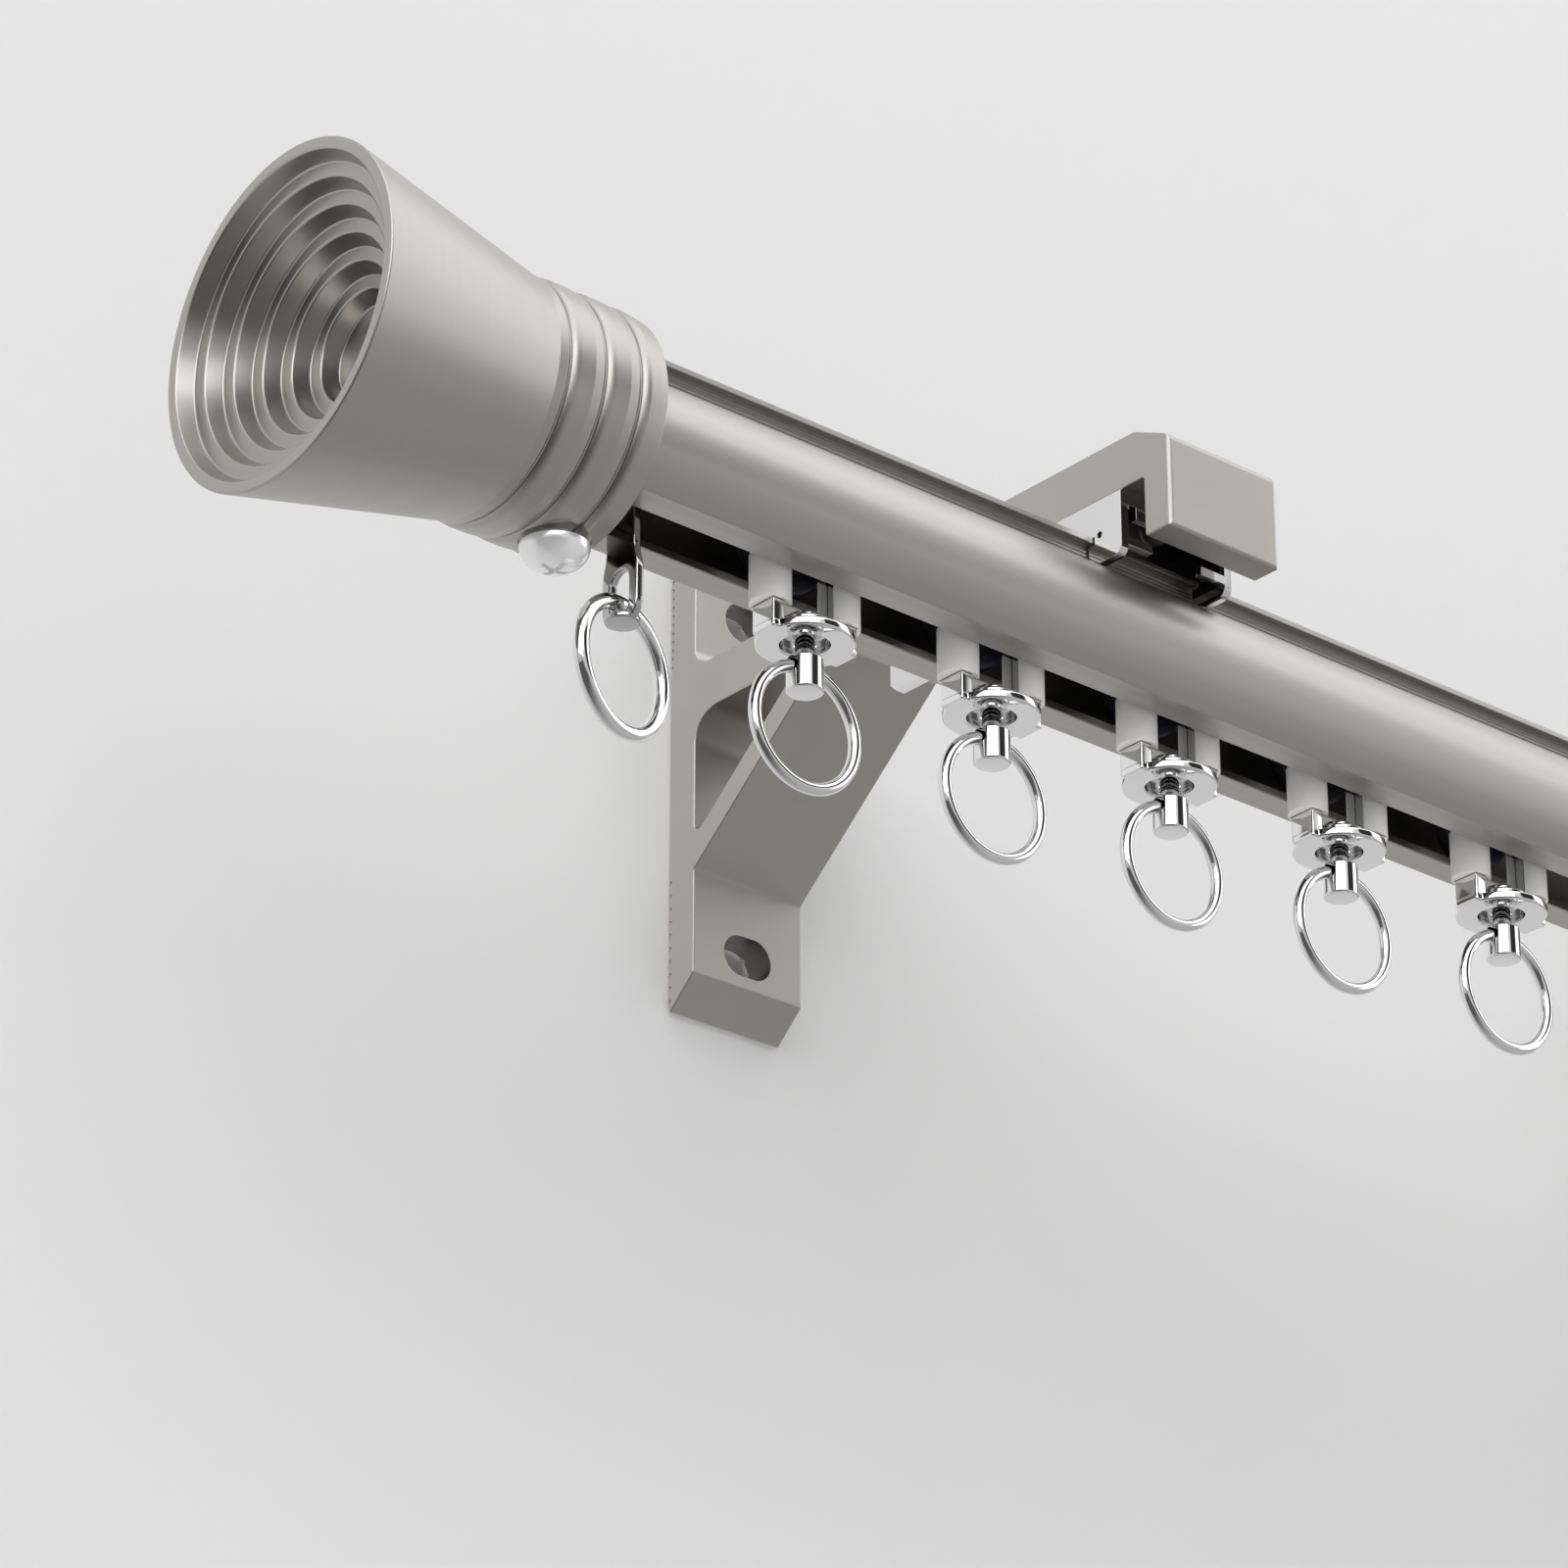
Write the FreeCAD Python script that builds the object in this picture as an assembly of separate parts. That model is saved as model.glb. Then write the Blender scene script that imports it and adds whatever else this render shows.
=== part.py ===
"""A round curtain track with a stepped trumpet finial at each end, two wall brackets and five ring carriers.

Lengths are in millimetres. X runs along the rail, +Y points into the wall and +Z is up. The origin is on
the wall face of the left bracket, midway between its two screw slots. Most functions work in rail
coordinates, where y and z are measured from the axis of the finials, and export() moves the result.
"""
import FreeCAD, Part
import math
import os

V = FreeCAD.Vector

# Clearances
seat_gap = 0.1            # between pieces that are fixed to each other
free_gap = 0.3            # between pieces that move past each other
running_gap = 0.06        # between an axle or pin and its bore, on the radius

# Place of the rail
axis_height = -11.8       # the axis, from the middle of the left bracket's wall plate
bracket_spacing = 252.0   # between the middles of the two brackets
bracket_to_rim = 173.4    # from a bracket's middle to the finial rim beyond it

# Rail section
rail_radius = 14.0
rail_centre_drop = 2.1    # the round body's centre lies this far under the finials' axis
rail_wall = 1.4
rail_bottom = 11.8        # from the axis down to the flat underside
lip_thickness = 1.6
slot_width = 9.6
flange_width = 11.2
flange_rise = 3.3         # height of the flange's neck over the round body
flange_edge = 1.0         # thickness of the flange's overhanging edge
neck_width = 8.2
rib_count = 4
rib_pitch = 0.66
rib_depth = 0.25

# Finial
rim_radius = 28.0
lip_width = 2.0
lip_rounding = 0.45
step_count = 6
step_pitch = 3.4          # from one terrace to the next, on the radius
step_depth = 2.9
step_taper = 1.1          # how far each terrace wall narrows over its depth
cone_length = 37.5
neck_radius = 20.15
band_count = 3
band_pitch = 6.8
band_start = 2.15         # from the cone's end to the first groove
groove_depth = 0.5
groove_floor = 0.45       # width of a groove's flat bottom
band_shoulder = 0.8       # length over which a band curves up out of its groove
strip_length = 2.2        # narrow lower strip at the far end of a band
strip_drop = 0.2
end_taper = 0.4           # how far the last band narrows towards its open end
neck_length = 21.1
socket_depth = 20.6

# Finial screw
screw_head_radius = 5.5
screw_head_rim = 1.5
screw_dome = 4.1
screw_shank_radius = 2.2
screw_inset = 5.9         # from the neck's open end to the screw
spot_depth = 0.9
drive_width = 1.1
drive_length = 5.6
drive_depth = 1.5

# Bracket
bracket_width = 24.7
plate_height = 89.0
plate_thickness = 6.6
plate_bevel = 5.9
arm_reach = 127.0         # from the wall to the nose's front face
nose_gap = 4.5            # between the nose and the clip behind it
nose_bevel_run = 8.0      # length and drop of the slope on top of the nose
nose_bevel_drop = 3.6
arm_thickness = 9.3
arm_underside = 22.8      # above the rail's axis
nose_thickness = 5.9
nose_bottom = 11.8        # above the rail's axis
nose_rounding = 1.6
edge_rounding = 0.8
strut_angle = 39.6
strut_thickness = 4.6
strut_foot = 7.2          # where the strut's underside meets the plate, under the rail's axis
window_rounding = 6.0
crotch_rounding = 3.5
slot_length = 10.7
slot_height = 7.6
slot_spacing = 65.0
groove_width = 0.9
groove_cut = 0.6
upper_groove_pitch = 1.72
upper_groove_count = 11
upper_groove_first = 22.3
lower_groove_pitch = 2.5
lower_groove_count = 10
lower_groove_first = 19.7

# Clip under the bracket arm
clip_width = 25.0
clip_shift = -0.9         # from the bracket's middle to the clip's middle
clip_sheet = 1.6
clip_front = 12.2
clip_rear = 14.6
clip_foot = 10.4          # underside of the front hook, above the rail's axis
clip_corner = 1.7
clip_tab_drop = 5.2       # how far the web's front is bent down between the cheeks
clip_relief = 1.9         # slits beside the bent front
clip_relief_height = 2.2
lip_length = 5.4          # inward lip at the foot of a cheek
lip_height = 1.5
lip_level = 12.4
hook_reach = 1.1          # how far hook and jaw go in under the flange edge
clip_peephole = 0.6
clip_screw_radius = 1.7
clip_screw_head = 2.9
clip_screw_depth = 3.3
clip_screw_grip = 5.5
clip_screw_y = -7.4

# Lock lever
lever_sheet = 2.0
pivot_y = 9.5
pivot_z = 16.8
pin_radius = 1.5
pin_head_radius = 2.4
pin_head = 0.8
hub_radius = 3.0
jaw_thickness = 1.4
tail_end = 46.8
tail_top = 12.8
tail_bottom = 7.8
tail_root = 19.0
tail_chamfer = 1.3

# Carriers
carrier_count = 5
carrier_pitch = 39.34
first_carrier = 102.55    # from the left finial's rim
wheel_radius = 8.25
wheel_width = 4.6
wheel_rounding = 1.9
wheel_recess = 0.5
wheel_inner_face = 3.7    # from the carrier's middle
wheel_lift = 0.15         # between the wheels and the lips they roll on
bearing_radius = 4.7
bearing_width = 3.6
race_width = 0.85
shield_recess = 0.3
axle_radius = 2.0
rivet_radius = 2.7
rivet_height = 0.6
boss_radius = 3.1
leg_centre = 7.5
leg_thickness = 2.4
leg_width = 5.2
disc_radius = 7.9
disc_thickness = 1.5
disc_bottom = 21.1        # under the rail's axis
disc_hole_radius = 4.0
cup_wall = 0.8
cup_height = 2.2
sleeve_radius = 3.4
sleeve_centre = 7.1
sleeve_length = 8.6
sleeve_bottom = 16.2      # under the rail's axis
sleeve_mouth = 3.6        # width of the slit that faces the carrier's middle

# Swivels and rings
swivel_radius = 3.0
swivel_top = 23.4         # under the rail's axis
swivel_height = 5.9
swivel_edge = 0.35
swivel_neck_radius = 1.5
swivel_head_radius = 2.9
swivel_head_height = 1.0
ring_radius = 10.2        # to the middle of the wire
wire_radius = 1.05
ring_hole_radius = 1.45
ring_hole_drop = 1.75     # from the swivel's top to the middle of the cross hole
ring_lift = 0.15          # how far the wire rides above the middle of the cross hole

# End stops
stop_to_rim = 66.0
stop_sheet = 1.5
stop_neck_width = 6.8
shoe_width = 16.0
shoe_length = 8.0
shoe_thickness = 1.8
eye_radius = 4.2
eye_top = 20.4            # top of the eye's hole, under the rail's axis
eye_bottom = 28.4
eye_width = 4.4
shoulder_top = 16.6       # where the neck starts to widen into the eye, under the rail's axis
shoulder_length = 4.6
foot_radius = 2.8
foot_thickness = 1.0
end_ring_radius = 10.45   # to the middle of the wire
end_wire_radius = 1.3
end_ring_turn = 15.0      # how far the end rings stand turned about the vertical, in degrees

# Values worked out from the ones above
wall_to_axis = arm_reach - nose_thickness - nose_gap - clip_front
left_rim = -bracket_to_rim
right_rim = bracket_spacing + bracket_to_rim
neck_end = cone_length + neck_length
lip_top = lip_thickness - rail_bottom
axle_z = lip_top + wheel_lift + wheel_radius
corner_y = math.sqrt(rail_radius ** 2 - (rail_bottom - rail_centre_drop) ** 2)
body_shoulder = math.sqrt(rail_radius ** 2 - (neck_width / 2) ** 2) - rail_centre_drop
flange_top = body_shoulder + flange_rise + flange_edge
rail_reach = max(math.hypot(corner_y, rail_bottom), math.hypot(flange_width / 2, flange_top))
socket_radius = rail_reach + seat_gap
cup_floor_top = cup_height - disc_bottom + disc_thickness
foot_sag = end_ring_radius - math.sqrt(end_ring_radius ** 2 - foot_radius ** 2)
stop_wire_drop = eye_bottom - free_gap - 1.05 * end_wire_radius - foot_sag


def face(points):
    """Flat face through (y, z) points in rail coordinates, at x = 0."""
    corners = [V(0, y, z) for y, z in points]
    return Part.Face(Part.makePolygon(corners + corners[:1]))


def rectangle(y0, y1, z0, z1):
    """Flat rectangular face at x = 0."""
    return face([(y0, z0), (y1, z0), (y1, z1), (y0, z1)])


def disc(radius, y=0.0, z=0.0):
    """Flat round face at x = 0."""
    return Part.Face(Part.Wire(Part.makeCircle(radius, V(0, y, z), V(1, 0, 0))))


def along_x(flat, x0, x1):
    """Extrude a face that lies at x = 0 from x0 to x1."""
    solid = flat.extrude(V(x1 - x0, 0, 0))
    solid.translate(V(x0, 0, 0))
    return solid


def bar_x(radius, x0, x1, y, z):
    """Cylinder along X."""
    return Part.makeCylinder(radius, x1 - x0, V(x0, y, z), V(1, 0, 0))


def bar_y(radius, y0, y1, x, z):
    """Cylinder along Y."""
    return Part.makeCylinder(radius, y1 - y0, V(x, y0, z), V(0, 1, 0))


def bar_z(radius, z0, z1, x, y):
    """Cylinder along Z."""
    return Part.makeCylinder(radius, z1 - z0, V(x, y, z0), V(0, 0, 1))


def block(x0, x1, y0, y1, z0, z1):
    """Box between two corners."""
    return Part.makeBox(x1 - x0, y1 - y0, z1 - z0, V(x0, y0, z0))


def outline_face(points):
    """Flat face inside a closed outline of straight runs and arcs.

    An entry of two vectors is an arc's middle and end, and a single vector is a straight run's end.
    """
    edges = []
    here = points[0]
    for entry in points[1:] + [points[0]]:
        if isinstance(entry, tuple):
            edges.append(Part.Arc(here, entry[0], entry[1]).toShape())
            here = entry[1]
        elif (entry - here).Length > 1e-6:
            edges.append(Part.LineSegment(here, entry).toShape())
            here = entry
    return Part.Face(Part.Wire(edges))


def spin(points, axis_start, axis_direction):
    """Revolve a closed outline around an axis."""
    return outline_face(points).revolve(axis_start, axis_direction, 360)


def tidy(shape):
    """The one solid that a cut or fuse leaves, with its coplanar faces joined."""
    clean = shape.removeSplitter()
    return clean.Solids[0]


def straight_edges(solid, direction, test):
    """Straight edges that run along a direction and whose middle passes a test."""
    found = []
    for edge in solid.Edges:
        start, end = edge.Vertexes[0].Point, edge.Vertexes[-1].Point
        run = end - start
        if run.Length < 1e-6 or abs(abs(run.normalize().dot(direction)) - 1) > 1e-6:
            continue
        if test((start + end) * 0.5):
            found.append(edge)
    return found


def rib_points(side):
    """Points of the fine notches up one side of the flange's neck, lowest first."""
    y = side * neck_width / 2
    points = []
    for number in range(rib_count):
        z = body_shoulder + (number + 0.8) * rib_pitch
        points += [V(0, y, z - rib_depth), V(0, y - side * rib_depth, z), V(0, y, z + rib_depth)]
    return points


def rail_section():
    """Closed face of the extrusion: round body, bottom lips with a slot, and a ribbed flange on top."""
    slot = slot_width / 2
    neck = neck_width / 2
    edge = flange_width / 2
    under = flange_top - flange_edge
    inside = rail_radius - rail_wall
    cavity_y = math.sqrt(inside ** 2 - (lip_top + rail_centre_drop) ** 2)
    right = V(0, rail_radius, -rail_centre_drop)
    left = V(0, -rail_radius, -rail_centre_drop)
    points = [V(0, slot, -rail_bottom), V(0, corner_y, -rail_bottom), (right, V(0, neck, body_shoulder))]
    points += rib_points(1)
    points += [V(0, neck, under), V(0, edge, under), V(0, edge, flange_top)]
    points += [V(0, -edge, flange_top), V(0, -edge, under), V(0, -neck, under)]
    points += list(reversed(rib_points(-1)))
    points += [V(0, -neck, body_shoulder), (left, V(0, -corner_y, -rail_bottom)), V(0, -slot, -rail_bottom)]
    points += [V(0, -slot, lip_top), V(0, -cavity_y, lip_top)]
    points += [(V(0, 0, inside - rail_centre_drop), V(0, cavity_y, lip_top)), V(0, slot, lip_top)]
    return outline_face(points)


def make_rail():
    """Rail from the floor of one finial's socket to the floor of the other's."""
    inset = neck_end - socket_depth + seat_gap
    return along_x(rail_section(), left_rim + inset, right_rim - inset)


def finial_outline():
    """Half section of the finial as (distance from the rim, radius), mouth side first."""
    points = [V(step_count * step_depth, 0, 0)]
    inner = rim_radius - lip_width
    for number in reversed(range(step_count)):
        top = inner - number * step_pitch
        points.append(V((number + 1) * step_depth, 0, top - step_taper))
        points.append(V(number * step_depth, 0, top))
    points[-1] = V(lip_rounding, 0, inner - step_taper * lip_rounding / step_depth)
    bend = lip_rounding * (1 - math.sqrt(0.5))
    points.append((V(bend, 0, inner + bend), V(0, 0, inner + lip_rounding)))
    points.append(V(0, 0, rim_radius - lip_rounding))
    points.append((V(bend, 0, rim_radius - bend), V(lip_rounding, 0, rim_radius)))
    strip = neck_radius - strip_drop
    groove = neck_radius - groove_depth
    points.append(V(cone_length, 0, strip))
    for number in range(band_count):
        start = cone_length + band_start + number * band_pitch
        rise = start + groove_floor
        crest = rise + band_shoulder
        fall = start - groove_floor
        points.append(V(fall, 0, strip))
        points.append((V(start - 0.3 * groove_floor, 0, (strip * 0.7 + groove * 0.3)), V(start, 0, groove)))
        points.append(V(rise, 0, groove))
        bend = V(rise + 0.3 * band_shoulder, 0, neck_radius - 0.3 * groove_depth)
        points.append((bend, V(crest, 0, neck_radius)))
        if number < band_count - 1:
            far = start + band_pitch - strip_length
            points.append(V(far - strip_drop, 0, neck_radius))
            points.append(V(far, 0, strip))
    points.append(V(neck_end, 0, neck_radius - end_taper))
    points.append(V(neck_end, 0, socket_radius))
    points.append(V(neck_end - socket_depth, 0, socket_radius))
    points.append(V(neck_end - socket_depth, 0, 0))
    return points


def make_finial():
    """Trumpet finial with its rim at x = 0, bored as a socket for the rail."""
    finial = spin(finial_outline(), V(0, 0, 0), V(1, 0, 0))
    x = neck_end - screw_inset
    seat = bar_z(screw_head_radius + seat_gap, -2 * neck_radius, spot_depth - neck_radius, x, 0)
    hole = bar_z(screw_shank_radius + seat_gap, -2 * neck_radius, 0, x, 0)
    return tidy(finial.cut([seat, hole]))


def make_finial_screw():
    """Domed screw under the neck, its tip reaching into the rail's slot as a key."""
    x = neck_end - screw_inset
    seat = spot_depth - neck_radius
    rim = seat - screw_head_rim
    middle = V(x + 0.75 * screw_head_radius, 0, rim - 0.62 * screw_dome)
    outline = [
        V(x, 0, lip_top),
        V(x + screw_shank_radius, 0, lip_top),
        V(x + screw_shank_radius, 0, seat),
        V(x + screw_head_radius, 0, seat),
        V(x + screw_head_radius, 0, rim),
        (middle, V(x, 0, rim - screw_dome)),
    ]
    screw = spin(outline, V(x, 0, 0), V(0, 0, 1))
    low = rim - screw_dome
    half = drive_length / 2
    wide = drive_width / 2
    along = block(x - half, x + half, -wide, wide, low - 1, low + drive_depth)
    across = block(x - wide, x + wide, -half, half, low - 1, low + drive_depth)
    return tidy(screw.cut([along, across]))


def plate_outline():
    """Side outline of the wall plate, bevelled at both ends."""
    low = -axis_height - plate_height / 2
    high = low + plate_height
    front = wall_to_axis - plate_thickness
    back = [(wall_to_axis, low), (wall_to_axis, high)]
    return face(back + [(front, high - plate_bevel), (front, low + plate_bevel)])


def arm_outline():
    """Side outline of the arm over the rail with its nose turned down in front."""
    front = wall_to_axis - arm_reach
    top = arm_underside + arm_thickness
    root = wall_to_axis - plate_thickness / 2
    return face([
        (root, arm_underside), (root, top), (front + nose_bevel_run, top),
        (front, top - nose_bevel_drop), (front, nose_bottom),
        (front + nose_thickness, nose_bottom), (front + nose_thickness, arm_underside),
    ])


def strut_outline():
    """Side outline of the strut from the wall plate up to the arm."""
    slope = math.tan(math.radians(strut_angle))
    rise = strut_thickness / math.cos(math.radians(strut_angle))
    front = wall_to_axis - plate_thickness
    root = wall_to_axis - plate_thickness / 2
    sunk = (front - root) * slope
    top = arm_underside + arm_thickness / 2
    reach = (top + strut_foot) / slope
    shorter = (top + strut_foot - rise) / slope
    return face([
        (root, -strut_foot + sunk), (root, -strut_foot + rise + sunk),
        (front - shorter, top), (front - reach, top),
    ])


def back_grooves():
    """Cutters for the fine grooves that keep the wall plate from slipping."""
    middle = -axis_height
    heights = [middle + upper_groove_first + n * upper_groove_pitch for n in range(upper_groove_count)]
    heights += [middle - lower_groove_first - n * lower_groove_pitch for n in range(lower_groove_count)]
    half = groove_width / 2
    cutters = []
    for z in heights:
        notch = face([(wall_to_axis, z - half), (wall_to_axis - groove_cut, z), (wall_to_axis, z + half)])
        cutters.append(along_x(notch, -bracket_width, bracket_width))
    return cutters


def screw_slot(z):
    """Cutter for one level screw slot through the wall plate."""
    radius = slot_height / 2
    half = slot_length / 2 - radius
    y0 = wall_to_axis - 2 * plate_thickness
    y1 = wall_to_axis + 1
    middle = block(-half, half, y0, y1, z - radius, z + radius)
    return middle.fuse([bar_y(radius, y0, y1, -half, z), bar_y(radius, y0, y1, half, z)])


def make_bracket():
    """Extruded wall bracket: plate, arm, nose and strut in one piece, centred on x = 0."""
    half = bracket_width / 2
    side = plate_outline().fuse([arm_outline(), strut_outline()]).removeSplitter()
    bracket = along_x(side.Faces[0], -half, half).removeSplitter().Solids[0]
    front = wall_to_axis - plate_thickness
    nose = wall_to_axis - arm_reach
    top = arm_underside + arm_thickness

    def near(y, z):
        return lambda p: math.hypot(p.y - y, p.z - z) < 0.5

    axis = V(1, 0, 0)
    corner = near(nose, top - nose_bevel_drop)
    bracket = bracket.makeFillet(nose_rounding, straight_edges(bracket, axis, corner))
    bracket = bracket.makeFillet(window_rounding, straight_edges(bracket, axis, near(front, arm_underside)))
    bracket = bracket.makeFillet(crotch_rounding, straight_edges(bracket, axis, near(front, top)))
    bracket = bracket.makeFillet(crotch_rounding, straight_edges(bracket, axis, near(front, -strut_foot)))
    upright = straight_edges(bracket, V(0, 0, 1), lambda p: abs(p.y - nose) < 0.1)
    bracket = bracket.makeFillet(edge_rounding, upright)
    cutters = back_grooves()
    for sign in (-1, 1):
        cutters.append(screw_slot(-axis_height + sign * slot_spacing / 2))
    blind = arm_underside + clip_screw_grip + seat_gap
    cutters.append(bar_z(clip_screw_radius + seat_gap, arm_underside - 1, blind, clip_shift, clip_screw_y))
    return tidy(bracket.cut(cutters))


def hook_outline():
    """Side outline of a clip cheek: a plate over the flange with a hook under its front edge."""
    over = flange_top + seat_gap
    edge = flange_width / 2 + free_gap
    tip = edge - free_gap - hook_reach
    under = flange_top - flange_edge - free_gap
    top = arm_underside - seat_gap
    cheek = face([
        (-clip_front, clip_foot), (-tip, clip_foot), (-tip, under), (-edge, under),
        (-edge, over), (clip_rear, over), (clip_rear, top), (-clip_front, top),
    ])
    return cheek.cut(disc(rail_radius + free_gap, 0, -rail_centre_drop))


def make_clip():
    """Bent steel clip under the arm: a level web with two hooked cheeks, centred on x = 0."""
    half = clip_width / 2
    top = arm_underside - seat_gap
    left = along_x(hook_outline(), -half, clip_sheet - half)
    right = along_x(hook_outline(), half - clip_sheet, half)
    inner = half - clip_sheet
    bent = clip_sheet - clip_front
    web = block(-half, half, -clip_front, clip_rear, top - clip_sheet, top)
    tab = block(-half, half, -clip_front, bent, top - clip_tab_drop, top)
    lips = [
        block(-inner - 0.5, lip_length - inner, -clip_front, bent, lip_level, lip_level + lip_height),
        block(inner - lip_length, inner + 0.5, -clip_front, bent, lip_level, lip_level + lip_height),
    ]
    clip = left.fuse([right, web, tab] + lips).removeSplitter().Solids[0]
    corners = straight_edges(clip, V(1, 0, 0), lambda p: math.hypot(p.y + clip_front, p.z - clip_foot) < 0.1)
    clip = clip.makeFillet(clip_corner, corners)
    bends = straight_edges(clip, V(0, 1, 0), lambda p: abs(abs(p.x) - half) < 0.1 and abs(p.z - top) < 0.1)
    clip = clip.makeFillet(clip_sheet * 0.8, bends)
    pin = bar_x(pin_radius + running_gap, -clip_width, clip_width, pivot_y, pivot_z)
    peephole = bar_x(clip_peephole, -clip_width, clip_width, -flange_width / 2 - 1.5, flange_top)
    screw = bar_z(clip_screw_radius + seat_gap, arm_underside - 2 * clip_sheet, top + 1, 0, clip_screw_y)
    slits = []
    for x0 in (-inner, inner - clip_relief):
        low = top - clip_tab_drop
        high = low + clip_relief_height
        slits.append(block(x0, x0 + clip_relief, -2 * clip_front, bent + 0.1, low - 1, high))
    return tidy(clip.cut([pin, peephole, screw] + slits))


def make_clip_screw():
    """Round-headed screw that holds the clip up against the arm."""
    seat = arm_underside - seat_gap - clip_sheet
    low = seat - clip_screw_depth
    bend = V(0.72 * clip_screw_head, clip_screw_y, low + 0.28 * clip_screw_depth)
    outline = [
        V(0, clip_screw_y, low),
        (bend, V(clip_screw_head, clip_screw_y, seat)),
        V(clip_screw_radius, clip_screw_y, seat),
        V(clip_screw_radius, clip_screw_y, arm_underside + clip_screw_grip),
        V(0, clip_screw_y, arm_underside + clip_screw_grip),
    ]
    return spin(outline, V(0, clip_screw_y, 0), V(0, 0, 1))


def make_lock_lever():
    """Flat lever with its own pin: a jaw under the flange's rear edge and a long tail behind the rail."""
    outer = clip_width / 2 - clip_sheet - free_gap
    under = flange_top - flange_edge - free_gap
    tip = flange_width / 2 - hook_reach
    low = under - jaw_thickness
    jaw = face([
        (tip, low), (pivot_y - 1.6, low - 0.9), (pivot_y + 1.6, pivot_z),
        (pivot_y - 2.6, pivot_z), (tip + 1.5, under), (tip, under),
    ])
    tail = face([
        (pivot_y, pivot_z + hub_radius), (tail_root, pivot_z + 0.2), (tail_end, tail_top),
        (tail_end, tail_bottom + tail_chamfer), (tail_end - tail_chamfer, tail_bottom),
        (tail_root + 4, tail_bottom), (pivot_y + 1, pivot_z - hub_radius + 0.1),
    ])
    flats = [disc(hub_radius, pivot_y, pivot_z), jaw, tail]
    sheets = [along_x(flat, -outer, lever_sheet - outer) for flat in flats]
    side = clip_width / 2 + free_gap
    pin = bar_x(pin_radius, -side, side, pivot_y, pivot_z)
    heads = [
        bar_x(pin_head_radius, -side - pin_head, -side, pivot_y, pivot_z),
        bar_x(pin_head_radius, side, side + pin_head, pivot_y, pivot_z),
    ]
    return tidy(pin.fuse(sheets + heads))


def end_stop_plate():
    """Face of the stop's sheet: a neck that widens by a soft shoulder into a long eye."""
    neck = stop_neck_width / 2
    grow = eye_radius - neck
    top = lip_top + seat_gap + shoe_thickness
    upper = -eye_top - eye_width / 2
    lower = -eye_bottom + eye_width / 2

    def soft(side):
        quarter = V(0, side * (neck + grow / 8), -shoulder_top - shoulder_length / 4)
        half = V(0, side * (neck + grow / 2), -shoulder_top - shoulder_length / 2)
        three = V(0, side * (neck + grow * 7 / 8), -shoulder_top - shoulder_length * 3 / 4)
        return quarter, half, three

    low = -shoulder_top - shoulder_length
    quarter, half, three = soft(1)
    points = [V(0, -neck, top), V(0, neck, top), V(0, neck, -shoulder_top)]
    points += [(quarter, half), (three, V(0, eye_radius, low)), V(0, eye_radius, lower)]
    points += [(V(0, 0, lower - eye_radius), V(0, -eye_radius, lower)), V(0, -eye_radius, low)]
    quarter, half, three = soft(-1)
    points += [(three, half), (quarter, V(0, -neck, -shoulder_top))]
    hole = eye_width / 2
    opening = [V(0, -hole, lower), V(0, -hole, upper), (V(0, 0, upper + hole), V(0, hole, upper))]
    opening += [V(0, hole, lower), (V(0, 0, lower - hole), V(0, -hole, lower))]
    return outline_face(points).cut(outline_face(opening)).Faces[0]


def make_end_stop():
    """Sheet stop at x = 0: a shoe on the rail's lips, a neck through the slot and an eye over a round foot.

    The shoe points to -x, towards the finial.
    """
    half = stop_sheet / 2
    floor = lip_top + seat_gap
    low = -eye_bottom - foot_thickness
    stop = along_x(end_stop_plate(), -half, half)
    stop = stop.cut(block(-1 - half, half + 1, -rail_radius, rail_radius, 2 * low, low))
    base = block(-shoe_length, half, -shoe_width / 2, shoe_width / 2, floor, floor + shoe_thickness)
    foot = bar_z(foot_radius, low, -eye_bottom, 0, 0)
    return tidy(stop.fuse([base, foot]))


def make_ring(radius, wire, top):
    """Ring of round wire in the XZ plane whose wire passes the height top, at x = 0."""
    return Part.makeTorus(radius, wire, V(0, 0, top - radius), V(0, 1, 0))


def make_frame():
    """Carrier frame: a pierced disc with a cup, two legs, and a bridge with the axle's boss."""
    floor = -disc_bottom
    cup_outer = disc_hole_radius + cup_wall
    plate = bar_z(disc_radius, floor, floor + disc_thickness, 0, 0)
    cup = bar_z(cup_outer, floor, cup_floor_top, 0, 0)
    legs = []
    for side in (-1, 1):
        x = side * leg_centre
        legs.append(block(x - leg_thickness / 2, x + leg_thickness / 2, -leg_width / 2, leg_width / 2,
                          floor, axle_z + leg_thickness / 2))
    reach = leg_centre
    bridge = block(-reach, reach, -leg_width / 2, leg_width / 2,
                   axle_z - leg_thickness / 2, axle_z + leg_thickness / 2)
    boss = bar_y(boss_radius, -wheel_inner_face + free_gap, wheel_inner_face - free_gap, 0, axle_z)
    frame = plate.fuse([cup, bridge, boss] + legs).removeSplitter().Solids[0]
    outer = leg_centre + leg_thickness / 2
    bends = straight_edges(frame, V(0, 1, 0), lambda p: abs(abs(p.x) - outer) < 0.1 and p.z > axle_z)
    frame = frame.makeFillet(leg_thickness * 0.6, bends)
    well = bar_z(disc_hole_radius, floor - 1, cup_floor_top - cup_wall, 0, 0)
    throat = bar_z(swivel_neck_radius + free_gap, floor - 1, cup_floor_top + 1, 0, 0)
    bore = bar_y(axle_radius + seat_gap / 4, -wheel_width, wheel_width, 0, axle_z)
    return tidy(frame.cut([well, throat, bore]))


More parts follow.
